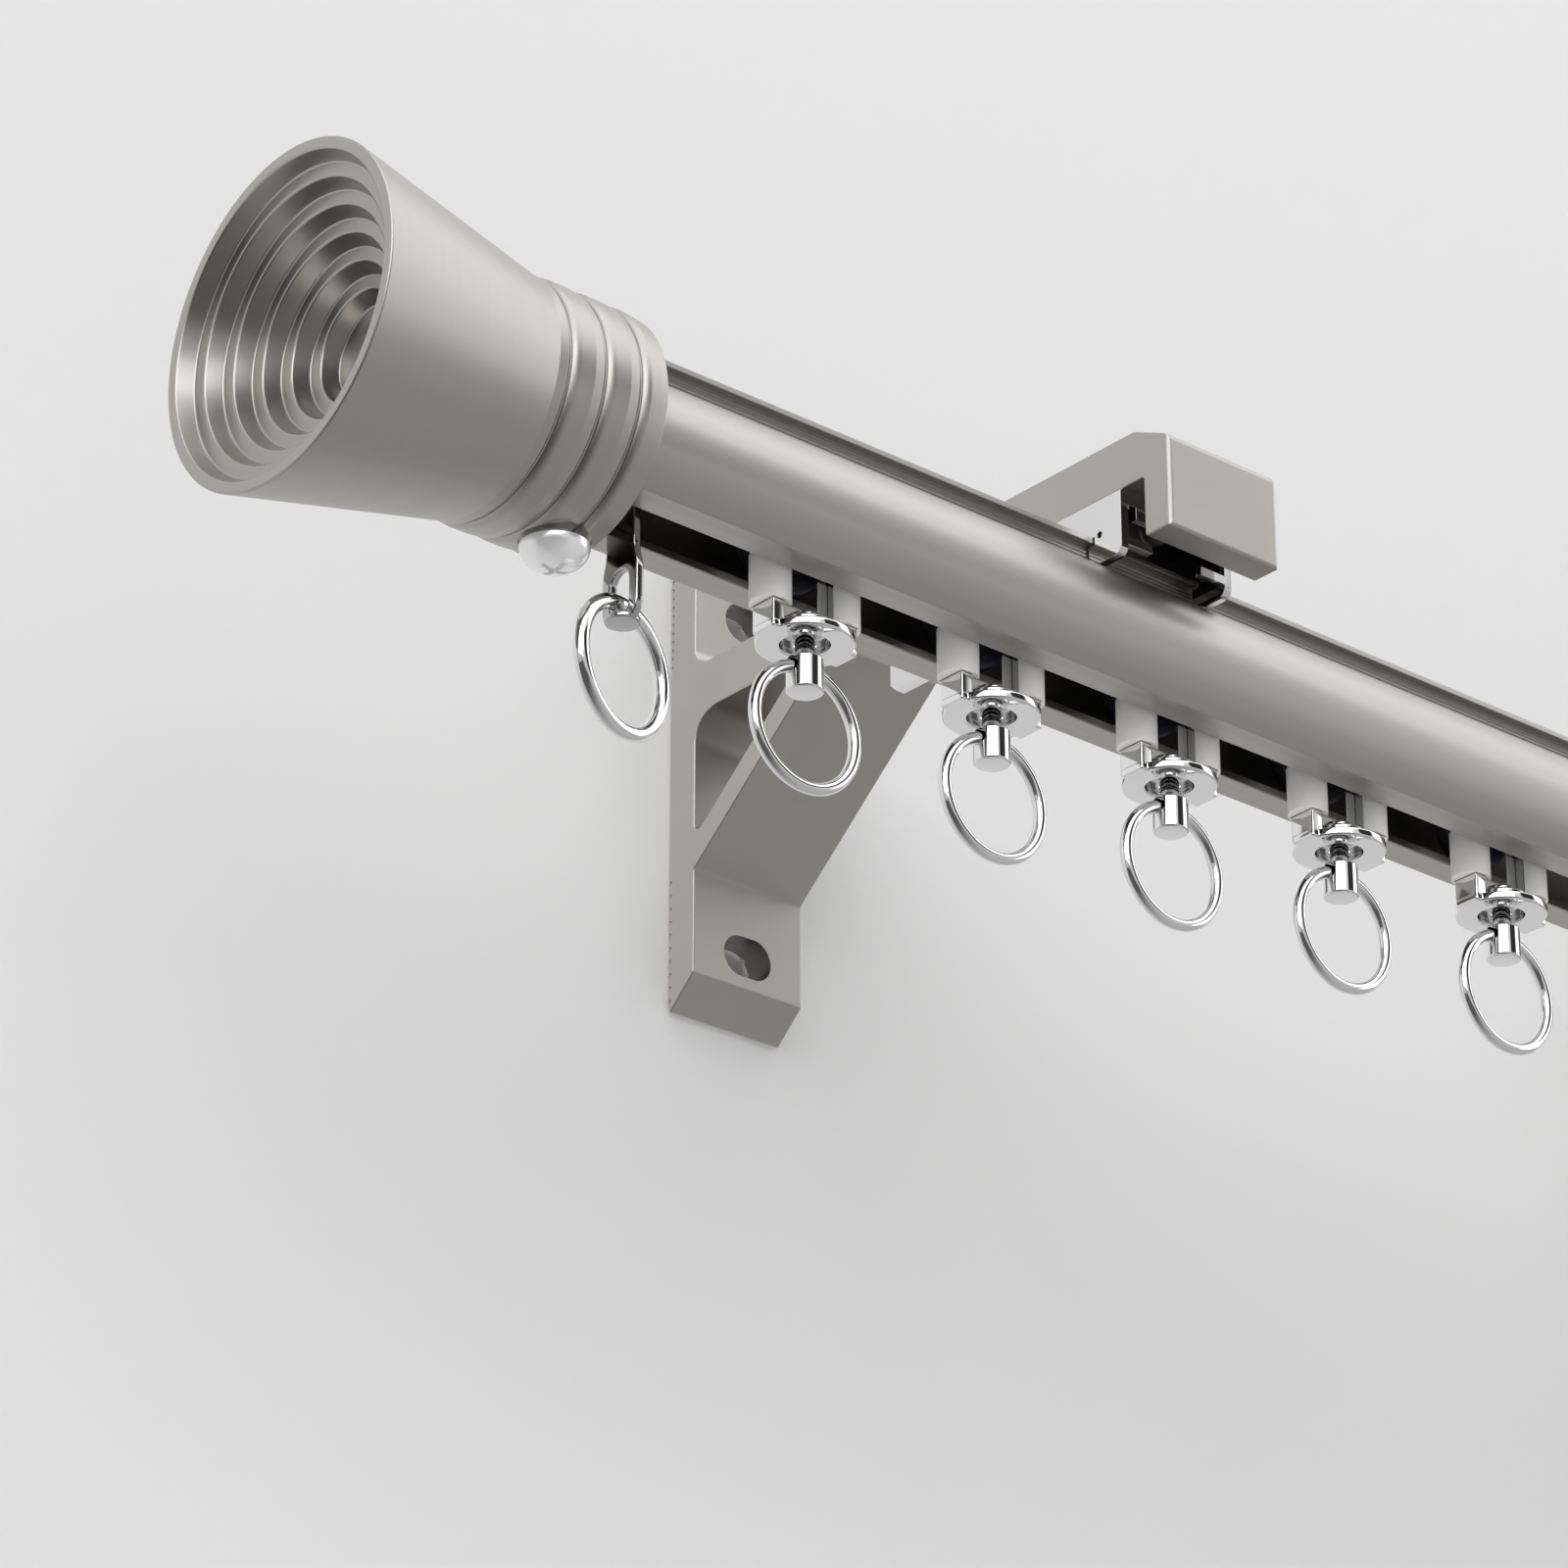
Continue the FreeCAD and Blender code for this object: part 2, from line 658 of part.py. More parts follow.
def make_axle():
    """Axle along Y with a low rivet head outside each wheel."""
    end = wheel_inner_face + wheel_width + seat_gap
    axle = bar_y(axle_radius, -end, end, 0, axle_z)
    heads = []
    for side in (-1, 1):
        start = end if side > 0 else -end - rivet_height
        heads.append(bar_y(rivet_radius, start, start + rivet_height, 0, axle_z))
    return tidy(axle.fuse(heads))


def make_sleeves():
    """Two plastic sleeves around the legs, open by a slit towards the carrier's middle."""
    low = -sleeve_bottom
    high = low + sleeve_length
    sleeves = []
    for side in (-1, 1):
        x = side * sleeve_centre
        leg = side * leg_centre
        half = leg_thickness / 2 + seat_gap
        wide = leg_width / 2 + seat_gap
        tube = bar_z(sleeve_radius, low, high, x, 0)
        well = block(leg - half, leg + half, -wide, wide, low - 1, high + 1)
        inner = sorted((leg, side * (sleeve_centre - 2 * sleeve_radius)))
        mouth = block(inner[0], inner[1], -sleeve_mouth / 2, sleeve_mouth / 2, low - 1, high + 1)
        sleeves.append(tidy(tube.cut([well, mouth])))
    return Part.makeCompound(sleeves)


def wheel_side(side):
    """Inner and outer face of the wheel on one side of the carrier, as y values."""
    return side * wheel_inner_face, side * (wheel_inner_face + wheel_width)


def make_tyre(side):
    """Plastic tyre with rounded shoulders, hollowed on both faces round its bearing."""
    inner, outer = wheel_side(side)
    near = inner + side * wheel_recess
    far = outer - side * wheel_recess
    shoulder = side * wheel_rounding
    bend = wheel_rounding * (1 - math.sqrt(0.5))
    dish = bearing_radius + race_width

    def at(y, radius):
        return V(0, y, axle_z + radius)

    outline = [
        at(near, bearing_radius),
        at(near, dish),
        at(inner, dish + wheel_recess),
        at(inner, wheel_radius - wheel_rounding),
        (at(inner + side * bend, wheel_radius - bend), at(inner + shoulder, wheel_radius)),
        at(outer - shoulder, wheel_radius),
        (at(outer - side * bend, wheel_radius - bend), at(outer, wheel_radius - wheel_rounding)),
        at(outer, dish + wheel_recess),
        at(far, dish),
        at(far, bearing_radius),
    ]
    return spin(outline, V(0, 0, axle_z), V(0, 1, 0))


def make_bearing(side):
    """Small steel bearing with a sunk shield between its two races on the outer face."""
    inner, outer = wheel_side(side)
    middle = (inner + outer) / 2
    near = middle - side * bearing_width / 2
    far = middle + side * bearing_width / 2
    bore = axle_radius + running_gap

    def at(y, radius):
        return V(0, y, axle_z + radius)

    outline = [
        at(near, bore),
        at(near, bearing_radius),
        at(far, bearing_radius),
        at(far, bearing_radius - race_width),
        at(far - side * shield_recess, bearing_radius - race_width),
        at(far - side * shield_recess, bore + race_width),
        at(far, bore + race_width),
        at(far, bore),
    ]
    return spin(outline, V(0, 0, axle_z), V(0, 1, 0))


def make_swivel():
    """Swivel: a head held in the cup, a thin neck and a barrel with a cross hole for the ring."""
    head_low = cup_floor_top + free_gap
    top = -swivel_top
    low = top - swivel_height
    wide = swivel_radius
    outline = [
        V(0, 0, head_low + swivel_head_height),
        V(swivel_head_radius, 0, head_low + swivel_head_height),
        V(swivel_head_radius, 0, head_low),
        V(swivel_neck_radius, 0, head_low),
        V(swivel_neck_radius, 0, top),
        V(wide - swivel_edge, 0, top),
        V(wide, 0, top - swivel_edge),
        V(wide, 0, low + swivel_edge),
        V(wide - swivel_edge, 0, low),
        V(0, 0, low),
    ]
    swivel = spin(outline, V(0, 0, 0), V(0, 0, 1))
    hole = bar_x(ring_hole_radius, -2 * wide, 2 * wide, 0, top - ring_hole_drop)
    return tidy(swivel.cut(hole))


def export(shape, name, x=0.0):
    """Move a shape from rail coordinates to its place and write it as one STEP file."""
    placed = shape.copy()
    placed.translate(V(x, -wall_to_axis, axis_height))
    placed.exportStep("parts/" + name + ".step")


def mirrored(shape):
    """The shape seen in a mirror across x = 0."""
    return shape.mirror(V(0, 0, 0), V(1, 0, 0))


def turned(shape, angle):
    """A copy of the shape turned about the vertical through x = 0, y = 0."""
    copy = shape.copy()
    copy.rotate(V(0, 0, 0), V(0, 0, 1), angle)
    return copy


def moved(shape, x):
    """A copy of the shape shifted along the rail."""
    copy = shape.copy()
    copy.translate(V(x, 0, 0))
    return copy


def export_track():
    """Rail, finials, brackets and what is fixed to them."""
    export(make_rail(), "rail")
    finial = make_finial()
    export(finial, "finial_left", left_rim)
    export(mirrored(finial), "finial_right", right_rim)
    screw = make_finial_screw()
    pair = [moved(screw, left_rim), moved(mirrored(screw), right_rim)]
    export(Part.makeCompound(pair), "finial_screws")
    stop = make_end_stop()
    export(stop, "end_stop_left", left_rim + stop_to_rim)
    export(mirrored(stop), "end_stop_right", right_rim - stop_to_rim)
    ring = turned(make_ring(end_ring_radius, end_wire_radius, -stop_wire_drop), end_ring_turn)
    export(ring, "end_ring_left", left_rim + stop_to_rim)
    export(ring, "end_ring_right", right_rim - stop_to_rim)
    bracket = make_bracket()
    clip = make_clip()
    lever = make_lock_lever()
    clip_screw = make_clip_screw()
    for side, x in (("left", 0.0), ("right", bracket_spacing)):
        export(bracket, "bracket_" + side, x)
        export(clip, "clip_" + side, x + clip_shift)
        export(lever, "lock_lever_" + side, x + clip_shift)
    screws = [moved(clip_screw, clip_shift), moved(clip_screw, bracket_spacing + clip_shift)]
    export(Part.makeCompound(screws), "clip_screws")


def export_carriers():
    """Five like carriers, evenly spaced along the rail."""
    frame = make_frame()
    axle = make_axle()
    sleeves = make_sleeves()
    swivel = make_swivel()
    ring = make_ring(ring_radius, wire_radius, -swivel_top - ring_hole_drop + ring_lift)
    sides = {"front": -1, "rear": 1}
    tyres = {name: make_tyre(side) for name, side in sides.items()}
    bearings = {name: make_bearing(side) for name, side in sides.items()}
    for number in range(carrier_count):
        x = left_rim + first_carrier + number * carrier_pitch
        label = "carrier_%d_" % (number + 1)
        export(frame, label + "frame", x)
        export(axle, label + "axle", x)
        export(sleeves, label + "sleeves", x)
        export(swivel, label + "swivel", x)
        export(ring, label + "ring", x)
        for name in sides:
            export(tyres[name], label + "tyre_" + name, x)
            export(bearings[name], label + "bearing_" + name, x)


def main():
    """Write every piece of the track."""
    os.makedirs("parts", exist_ok=True)
    export_track()
    export_carriers()


main()
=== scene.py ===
import math
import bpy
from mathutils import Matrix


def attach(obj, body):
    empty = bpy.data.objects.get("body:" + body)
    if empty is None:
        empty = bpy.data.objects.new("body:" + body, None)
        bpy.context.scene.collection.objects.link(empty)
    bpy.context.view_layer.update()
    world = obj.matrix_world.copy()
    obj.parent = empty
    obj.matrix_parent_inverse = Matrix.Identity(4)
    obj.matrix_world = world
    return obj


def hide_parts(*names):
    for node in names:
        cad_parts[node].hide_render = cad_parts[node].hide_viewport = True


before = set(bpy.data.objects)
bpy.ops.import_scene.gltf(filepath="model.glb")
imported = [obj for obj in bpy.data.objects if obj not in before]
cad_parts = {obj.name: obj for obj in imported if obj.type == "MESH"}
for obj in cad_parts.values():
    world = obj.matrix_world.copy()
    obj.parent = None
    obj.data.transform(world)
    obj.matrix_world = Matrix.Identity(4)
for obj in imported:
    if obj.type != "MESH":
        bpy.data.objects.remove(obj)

from types import SimpleNamespace

import bmesh
import bpy
import numpy as np
from bpy.props import FloatProperty, FloatVectorProperty, IntProperty, PointerProperty
from mathutils import Matrix, Vector
from mathutils.geometry import tessellate_polygon

bl_info = {
    "name": "Curtain Track",
    "version": (1, 0, 0),
    "blender": (4, 5, 0),
    "location": "View3D > Sidebar > Curtain Track",
    "description": "Builds a round curtain track with finials, brackets, clips, end stops and ring carriers",
    "category": "Add Mesh",
}


# Gaps in millimetres

SEAT_GAP = 0.1       # between pieces that are fixed to each other
FREE_GAP = 0.3       # between pieces that move past each other
RUNNING_GAP = 0.06   # between an axle and its bore, on the radius
HAIR = 0.04          # keeps faces of one piece out of one plane


# Settings

def length(name, description, millimetres):
    """A length property; its default is given in millimetres and kept in metres."""
    return FloatProperty(name=name, description=description, default=millimetres / 1000,
                         soft_min=0.0, unit="LENGTH", subtype="DISTANCE", precision=5)


def amount(name, description, default, most):
    """A count property from one upwards."""
    return IntProperty(name=name, description=description, default=default, min=1, max=most)


def tilt(name, description, degrees):
    """An angle property; its default is given in degrees and kept in radians."""
    return FloatProperty(name=name, description=description, default=math.radians(degrees),
                         unit="ROTATION", subtype="ANGLE")


def tint(name, description, colour):
    """A linear colour property."""
    return FloatVectorProperty(name=name, description=description, default=colour,
                               size=3, min=0.0, max=1.0, subtype="COLOR")


class RailSettings(bpy.types.PropertyGroup):
    """Place and section of the rail."""

    wall_to_axis: length("Wall to axis", "From the wall to the axis of the finials", 104.4)
    axis_height: length("Axis height", "The axis, from the middle of the left wall plate", -11.8)
    bracket_spacing: length("Bracket spacing", "Between the middles of the two brackets", 252.0)
    bracket_to_rim: length("Bracket to rim", "From a bracket's middle to the finial rim beyond it", 173.4)
    radius: length("Radius", "Radius of the round body", 14.0)
    centre_drop: length("Centre drop", "How far the body's centre lies under the axis", 2.1)
    wall: length("Wall", "Thickness of the round wall", 1.4)
    bottom: length("Bottom", "From the axis down to the flat underside", 11.8)
    lip: length("Lip", "Thickness of the lips beside the slot", 1.6)
    slot: length("Slot", "Width of the slot", 9.6)
    flange_width: length("Flange width", "Width of the flange on top", 11.2)
    flange_rise: length("Flange rise", "Height of the flange's neck over the round body", 3.3)
    flange_edge: length("Flange edge", "Thickness of the overhanging edge", 1.0)
    neck: length("Neck", "Width of the neck under the flange", 8.2)
    ribs: amount("Ribs", "Number of fine grooves in the neck", 4, 5)
    rib_start: length("Rib start", "From the neck's foot to the first fine groove", 0.528)
    rib_pitch: length("Rib pitch", "Distance between two fine grooves in the neck", 0.66)
    rib_depth: length("Rib depth", "Depth of the fine grooves", 0.2)


class FinialSettings(bpy.types.PropertyGroup):
    """Turned trumpet and its screw."""

    rim_radius: length("Rim radius", "Radius of the mouth", 28.0)
    lip: length("Lip", "Width of the flat rim", 2.0)
    steps: amount("Steps", "Number of terraces in the bell", 6, 9)
    step_pitch: length("Step pitch", "From one terrace to the next, on the radius", 3.4)
    step_depth: length("Step depth", "Depth of one terrace", 2.9)
    step_taper: length("Step taper", "How far a terrace wall narrows over its depth", 1.1)
    cone: length("Cone", "Length of the cone", 37.5)
    cone_step: length("Cone step", "How far the cone ends under the bands", 0.15)
    neck_radius: length("Neck radius", "Radius over the bands", 20.15)
    neck: length("Neck", "Length of the banded neck", 21.1)
    bands: amount("Bands", "Number of bands round the neck", 3, 6)
    band_pitch: length("Band pitch", "Distance between two bands", 6.8)
    band_start: length("Band start", "From the cone's end to the first groove", 2.15)
    groove: length("Groove", "Depth of the grooves between bands", 0.8)
    groove_slope: length("Groove slope", "Length of the slope down into a groove", 0.5)
    groove_floor: length("Groove floor", "Width of a groove's flat bottom", 0.35)
    shoulder: length("Shoulder", "Length over which a band curves up out of its groove", 1.5)
    strip: length("Strip", "Length of the lower strip at the end of a band", 2.2)
    strip_drop: length("Strip drop", "How far the strip slopes down under the band", 0.2)
    taper: length("Taper", "How far the last band narrows towards its open end", 0.4)
    socket_depth: length("Socket depth", "How deep the rail sits in the neck", 20.6)
    socket_radius: length("Socket radius", "Radius of the bore for the rail", 16.663)
    screw_inset: length("Screw inset", "From the neck's open end to the screw", 5.9)
    screw_radius: length("Screw radius", "Radius of the screw head", 5.5)
    screw_rim: length("Screw rim", "From the seat down to the head's widest place", 1.5)
    screw_shank: length("Screw shank", "Radius of the screw's shank", 2.2)
    screw_eave: length("Screw eave", "Slope under the head's widest place", 0.3)
    screw_collar: length("Screw collar", "Radius of the collar between seat and head", 3.4)
    screw_dome: length("Screw dome", "Height of the head's dome", 4.1)
    screw_seat: length("Screw seat", "Depth of the flat seat in the neck", 0.9)
    seat_margin: length("Seat margin", "Between the edges of head and seat", 0.15)
    drive_length: length("Drive length", "Length of the cross recess", 4.8)
    drive_width: length("Drive width", "Width of the cross recess", 0.9)
    drive_depth: length("Drive depth", "Depth of the cross recess", 1.1)


class BracketSettings(bpy.types.PropertyGroup):
    """Extruded wall bracket."""

    width: length("Width", "Width of the extrusion", 24.7)
    plate_height: length("Plate height", "Height of the wall plate", 89.0)
    plate: length("Plate", "Thickness of the wall plate", 6.6)
    plate_bevel: length("Plate bevel", "Slope at both ends of the plate", 5.9)
    reach: length("Reach", "From the wall to the nose's front", 127.0)
    nose_run: length("Nose run", "Length of the slope on top of the nose", 8.0)
    nose_drop: length("Nose drop", "Drop of that slope", 3.6)
    arm: length("Arm", "Thickness of the arm", 9.3)
    underside: length("Underside", "Arm's underside, above the axis", 22.8)
    nose: length("Nose", "Thickness of the nose", 5.9)
    nose_bottom: length("Nose bottom", "Foot of the nose, above the axis", 11.8)
    nose_edge: length("Nose edge", "Rounding of the nose's upright edges", 0.9)
    strut_angle: tilt("Strut angle", "Slope of the strut", 39.6)
    strut: length("Strut", "Thickness of the strut", 4.6)
    strut_foot: length("Strut foot", "Where the strut's underside meets the plate, under the axis", 7.2)
    slot_length: length("Slot length", "Length of the screw slots", 10.7)
    slot_height: length("Slot height", "Height of the screw slots", 7.6)
    slot_spacing: length("Slot spacing", "Between the two slots", 65.0)
    edge: length("Edge", "Rounding of the cut edges", 0.3)
    groove_radius: length("Groove radius", "Radius of the fine grooves in the back", 0.44)
    groove_inset: length("Groove inset", "How deep the middle of a groove's circle lies", 0.32)
    lower_grooves: amount("Lower grooves", "Number of grooves under the plate's middle", 10, 10)
    lower_first: length("Lower first", "From the middle down to the first of them", 19.7)
    lower_pitch: length("Lower pitch", "Distance between two of them", 2.5)
    upper_grooves: amount("Upper grooves", "Number of grooves over the plate's middle", 11, 12)
    upper_first: length("Upper first", "From the middle up to the first of them", 22.3)
    upper_pitch: length("Upper pitch", "Distance between two of them", 1.72)


class ClipSettings(bpy.types.PropertyGroup):
    """Clips, their screws and the lock levers."""

    middle: length("Middle", "The clip's middle, beside the bracket's", -0.9)
    edge: length("Edge", "Rounding of the clip's edges", 0.18)
    lever_edge: length("Lever edge", "Rounding of the lever's edges", 0.2)
    inside_width: length("Inside width", "Width of the shaded inside", 22.8)
    inside_depth: length("Inside depth", "Depth of the shaded inside, front to back", 26.2)
    inside_height: length("Inside height", "Height of the shaded inside", 9.6)
    inside_back: length("Inside back", "Middle of the inside, behind the axis", 2.0)
    inside_level: length("Inside level", "Middle of the inside, above the axis", 17.3)
    screw_front: length("Screw front", "The screw, in front of the axis", 7.4)
    screw_seat: length("Screw seat", "From the arm's underside down to the head", 1.7)
    screw_head: length("Screw head", "Radius of the head", 2.9)
    screw_dome: length("Screw dome", "Height of the head", 3.3)
    screw_shank: length("Screw shank", "Radius of the shank", 1.7)
    screw_grip: length("Screw grip", "How deep the shank sits in the arm", 5.5)


class CarrierSettings(bpy.types.PropertyGroup):
    """Ring carriers and their wheels."""

    count: amount("Count", "Number of carriers", 5, 5)
    pitch: length("Pitch", "Distance between two carriers", 39.34)
    first: length("First", "First carrier, from the left rim", 102.55)
    wheel_radius: length("Wheel radius", "Radius of the tyres", 8.25)
    wheel_width: length("Wheel width", "Width of the tyres", 4.6)
    wheel_face: length("Wheel face", "From the carrier's middle to a wheel", 3.7)
    wheel_lift: length("Wheel lift", "Between the tyres and the lips they roll on", 0.15)
    web: length("Web", "Width of the sunk face beside the bearing", 0.85)
    dish: length("Dish", "Depth and slope of the sunk face", 0.5)
    bearing_radius: length("Bearing radius", "Radius of the bearings", 4.7)
    bearing_width: length("Bearing width", "Width of the bearings", 3.6)
    race: length("Race", "Width of the bearing's two races", 0.85)
    shield: length("Shield", "Depth of the shield between the races", 0.3)
    axle_radius: length("Axle radius", "Radius of the axle", 2.0)
    rivet_radius: length("Rivet radius", "Radius of the axle's rivet heads", 2.7)
    rivet: length("Rivet", "Height of a rivet head", 0.6)
    boss_radius: length("Boss radius", "Radius of the boss round the axle", 3.1)
    leg_centre: length("Leg centre", "From the middle to a leg", 7.5)
    leg: length("Leg", "Thickness of the legs", 2.4)
    leg_width: length("Leg width", "Width of the legs", 5.2)
    disc_radius: length("Disc radius", "Radius of the pierced disc", 7.9)
    disc: length("Disc", "Thickness of the disc", 1.5)
    disc_bottom: length("Disc bottom", "Underside of the disc, under the axis", 21.1)
    well_radius: length("Well radius", "Radius of the hole in the disc", 4.0)
    cup: length("Cup", "Thickness of the cup over the disc", 0.8)
    cup_height: length("Cup height", "Height of the cup over the disc", 2.2)
    sleeve_radius: length("Sleeve radius", "Radius of the plastic sleeves", 3.4)
    sleeve_centre: length("Sleeve centre", "From the middle to a sleeve", 7.1)
    sleeve: length("Sleeve", "Length of the sleeves", 8.6)
    sleeve_bottom: length("Sleeve bottom", "Foot of the sleeves, under the axis", 16.2)
    mouth: length("Mouth", "Width of the slit in a sleeve", 3.6)
    head_radius: length("Head radius", "Radius of the swivel's head in the cup", 2.9)
    head: length("Head", "Height of the swivel's head", 1.0)
    neck_radius: length("Neck radius", "Radius of the swivel's neck", 1.5)
    barrel_radius: length("Barrel radius", "Radius of the swivel's barrel", 3.0)
    barrel_top: length("Barrel top", "Top of the barrel, under the axis", 23.4)
    barrel: length("Barrel", "Height of the barrel", 5.9)
    drill_radius: length("Drill radius", "Radius of the cross hole", 1.45)
    drill_drop: length("Drill drop", "From the barrel's top to the cross hole", 1.75)
    ring_radius: length("Ring radius", "Radius to the middle of the wire", 10.2)
    wire: length("Wire", "Radius of the ring's wire", 1.05)
    ring_lift: length("Ring lift", "How far the wire rides above the hole's middle", 0.15)


class StopSettings(bpy.types.PropertyGroup):
    """End stops and their rings."""

    to_rim: length("To rim", "From the finial's rim to the stop", 66.0)
    sheet: length("Sheet", "Thickness of the sheet", 1.5)
    shoe: length("Shoe", "Thickness of the shoe on the rail's lips", 1.8)
    shoe_length: length("Shoe length", "Length of the shoe", 8.0)
    shoe_width: length("Shoe width", "Width of the shoe", 16.0)
    neck: length("Neck", "Width of the neck in the rail's slot", 6.8)
    eye_radius: length("Eye radius", "Radius of the eye's outline", 4.2)
    eye_top: length("Eye top", "Top of the hole, under the axis", 20.4)
    eye_bottom: length("Eye bottom", "Bottom of the hole, under the axis", 28.4)
    eye_width: length("Eye width", "Width of the hole", 4.4)
    shoulder_top: length("Shoulder top", "Where the neck starts to widen, under the axis", 16.6)
    shoulder: length("Shoulder", "Length over which the neck widens into the eye", 4.6)
    foot_radius: length("Foot radius", "Radius of the round foot", 2.8)
    foot: length("Foot", "Thickness of the foot", 1.0)
    ring_radius: length("Ring radius", "Radius to the middle of the wire", 10.45)
    wire: length("Wire", "Radius of the ring's wire", 1.3)
    ring_turn: tilt("Ring turn", "How far the end rings stand turned", 15.0)


class FinishSettings(bpy.types.PropertyGroup):
    """Colours of the finishes and the studio."""

    nickel: tint("Satin nickel", "Rail and finials", (0.475, 0.46, 0.435))
    blasted: tint("Blasted nickel", "Brackets", (0.50, 0.482, 0.458))
    chrome: tint("Chrome", "Carriers, rings, clips and lock levers", (0.86, 0.86, 0.86))
    zinc: tint("Bright zinc", "Finial screws", (0.93, 0.93, 0.93))
    # the end stops' colour is the chrome's darkened: a painted dark reflection
    sheet: tint("Plated sheet", "End stops", (0.50, 0.50, 0.50))
    steel: tint("Dark steel", "Clip screws", (0.07, 0.07, 0.075))
    nylon: tint("White nylon", "Sleeves", (0.80, 0.79, 0.77))
    # nearly black: the tyres' blue is darkened as painted shade inside the rail
    tyre: tint("Blue tyre", "Tyres", (0.022, 0.026, 0.040))
    bearing: tint("Bearing steel", "Bearings and axles", (0.55, 0.55, 0.56))
    backdrop: tint("Backdrop", "Backdrop and floor", (0.79, 0.79, 0.79))


GROUPS = {
    "track_rail": RailSettings,
    "track_finial": FinialSettings,
    "track_bracket": BracketSettings,
    "track_clip": ClipSettings,
    "track_carrier": CarrierSettings,
    "track_stop": StopSettings,
    "track_finish": FinishSettings,
}


def sizes(context, *names):
    """The named settings groups, with lengths in millimetres and with angles and counts as they are."""
    groups = []
    for name in names:
        group = getattr(context.scene, name)
        found = {}
        for key in GROUPS[name].__annotations__:
            in_metres = getattr(group.bl_rna.properties[key], "unit", "NONE") == "LENGTH"
            found[key] = getattr(group, key) * (1000 if in_metres else 1)
        groups.append(SimpleNamespace(**found))
    return groups


def track_ends(rail):
    """The left and right finial rims along X, with the left bracket's middle at 0."""
    return -rail.bracket_to_rim, rail.bracket_spacing + rail.bracket_to_rim


def track_sides(rail):
    """Name, finial rim and whether it is mirrored, for both sides."""
    left, right = track_ends(rail)
    return ("left", left, False), ("right", right, True)


# Outlines

def unit(vectors):
    """Vectors divided by their own lengths; a zero vector stays zero."""
    size = np.linalg.norm(vectors, axis=-1, keepdims=True)
    return vectors / np.maximum(size, 1e-12)


def arc(centre, radius, start, end, count):
    """Points at centre + radius * (cos a, sin a) for a from start to end."""
    angle = np.linspace(start, end, count)
    return np.stack([centre[0] + radius * np.cos(angle), centre[1] + radius * np.sin(angle)], axis=1)


def rounded(corners, radii, steps=5):
    """Closed outline with arcs for corners.

    With h half the angle at a corner, its arc touches both sides at radius / tan h from the corner, and its
    points turn evenly from the first touching point to the second about the centre at radius / sin h.
    """
    corners = np.asarray(corners, float)
    radii = np.broadcast_to(np.asarray(radii, float), len(corners))[:, None]
    before = unit(np.roll(corners, 1, 0) - corners)
    after = unit(np.roll(corners, -1, 0) - corners)
    cosine = np.clip((before * after).sum(1, keepdims=True), -1, 1)
    half = np.arccos(cosine) / 2
    straight = (half > math.pi / 2 - 0.01) | (radii <= 0)
    half = np.where(straight, math.pi / 4, half)
    radii = np.where(straight, 0, radii)
    centre = corners + unit(before + after) * radii / np.sin(half)
    start = corners + before * radii / np.tan(half) - centre
    end = corners + after * radii / np.tan(half) - centre
    sweep = (math.pi - 2 * half)[:, None, :]
    share = np.linspace(0, 1, steps + 1)[None, :, None]
    turn = np.sin((1 - share) * sweep) * start[:, None] + np.sin(share * sweep) * end[:, None]
    points = (centre[:, None] + turn / np.sin(sweep)).reshape(-1, 2)
    gap = np.linalg.norm(points - np.roll(points, 1, 0), axis=1)
    return points[gap > 1e-5]


def ends(first, count, last):
    """Roundings for the points of an arc: only its two end points have one."""
    return [first] + [0] * (count - 2) + [last]


def rod(radius, low, high):
    """Half section of a round bar between two distances along its axis."""
    return [(low, 0), (low, radius), (high, radius), (high, 0)]


def quarter(start, height, radius, count):
    """Half section of a dome: (start + height * sin a, radius * cos a) from its rim to its pole."""
    angle = np.linspace(0, math.pi / 2, count)
    return np.stack([start + height * np.sin(angle), radius * np.cos(angle).round(12)], axis=1)


def inward(outline):
    """Direction at each point of a closed outline that moves both its sides to their left by one."""
    run = unit(np.roll(outline, -1, 0) - outline)
    left = np.stack([-run[:, 1], run[:, 0]], axis=1)
    last = np.roll(left, 1, 0)
    return (left + last) / np.maximum(1 + (left * last).sum(1, keepdims=True), 0.3)


def area(outline):
    """Signed area of a closed outline, positive when it runs anticlockwise."""
    following = np.roll(outline, -1, 0)
    return 0.5 * (outline[:, 0] * following[:, 1] - following[:, 0] * outline[:, 1]).sum()


# Forms: a form is an array of points in millimetres and a list of faces

def grid_faces(index):
    """Quads between neighbouring rows and columns of a grid of point numbers."""
    corners = [index[:-1, :-1], index[1:, :-1], index[1:, 1:], index[:-1, 1:]]
    return np.stack([c.ravel() for c in corners], axis=1)


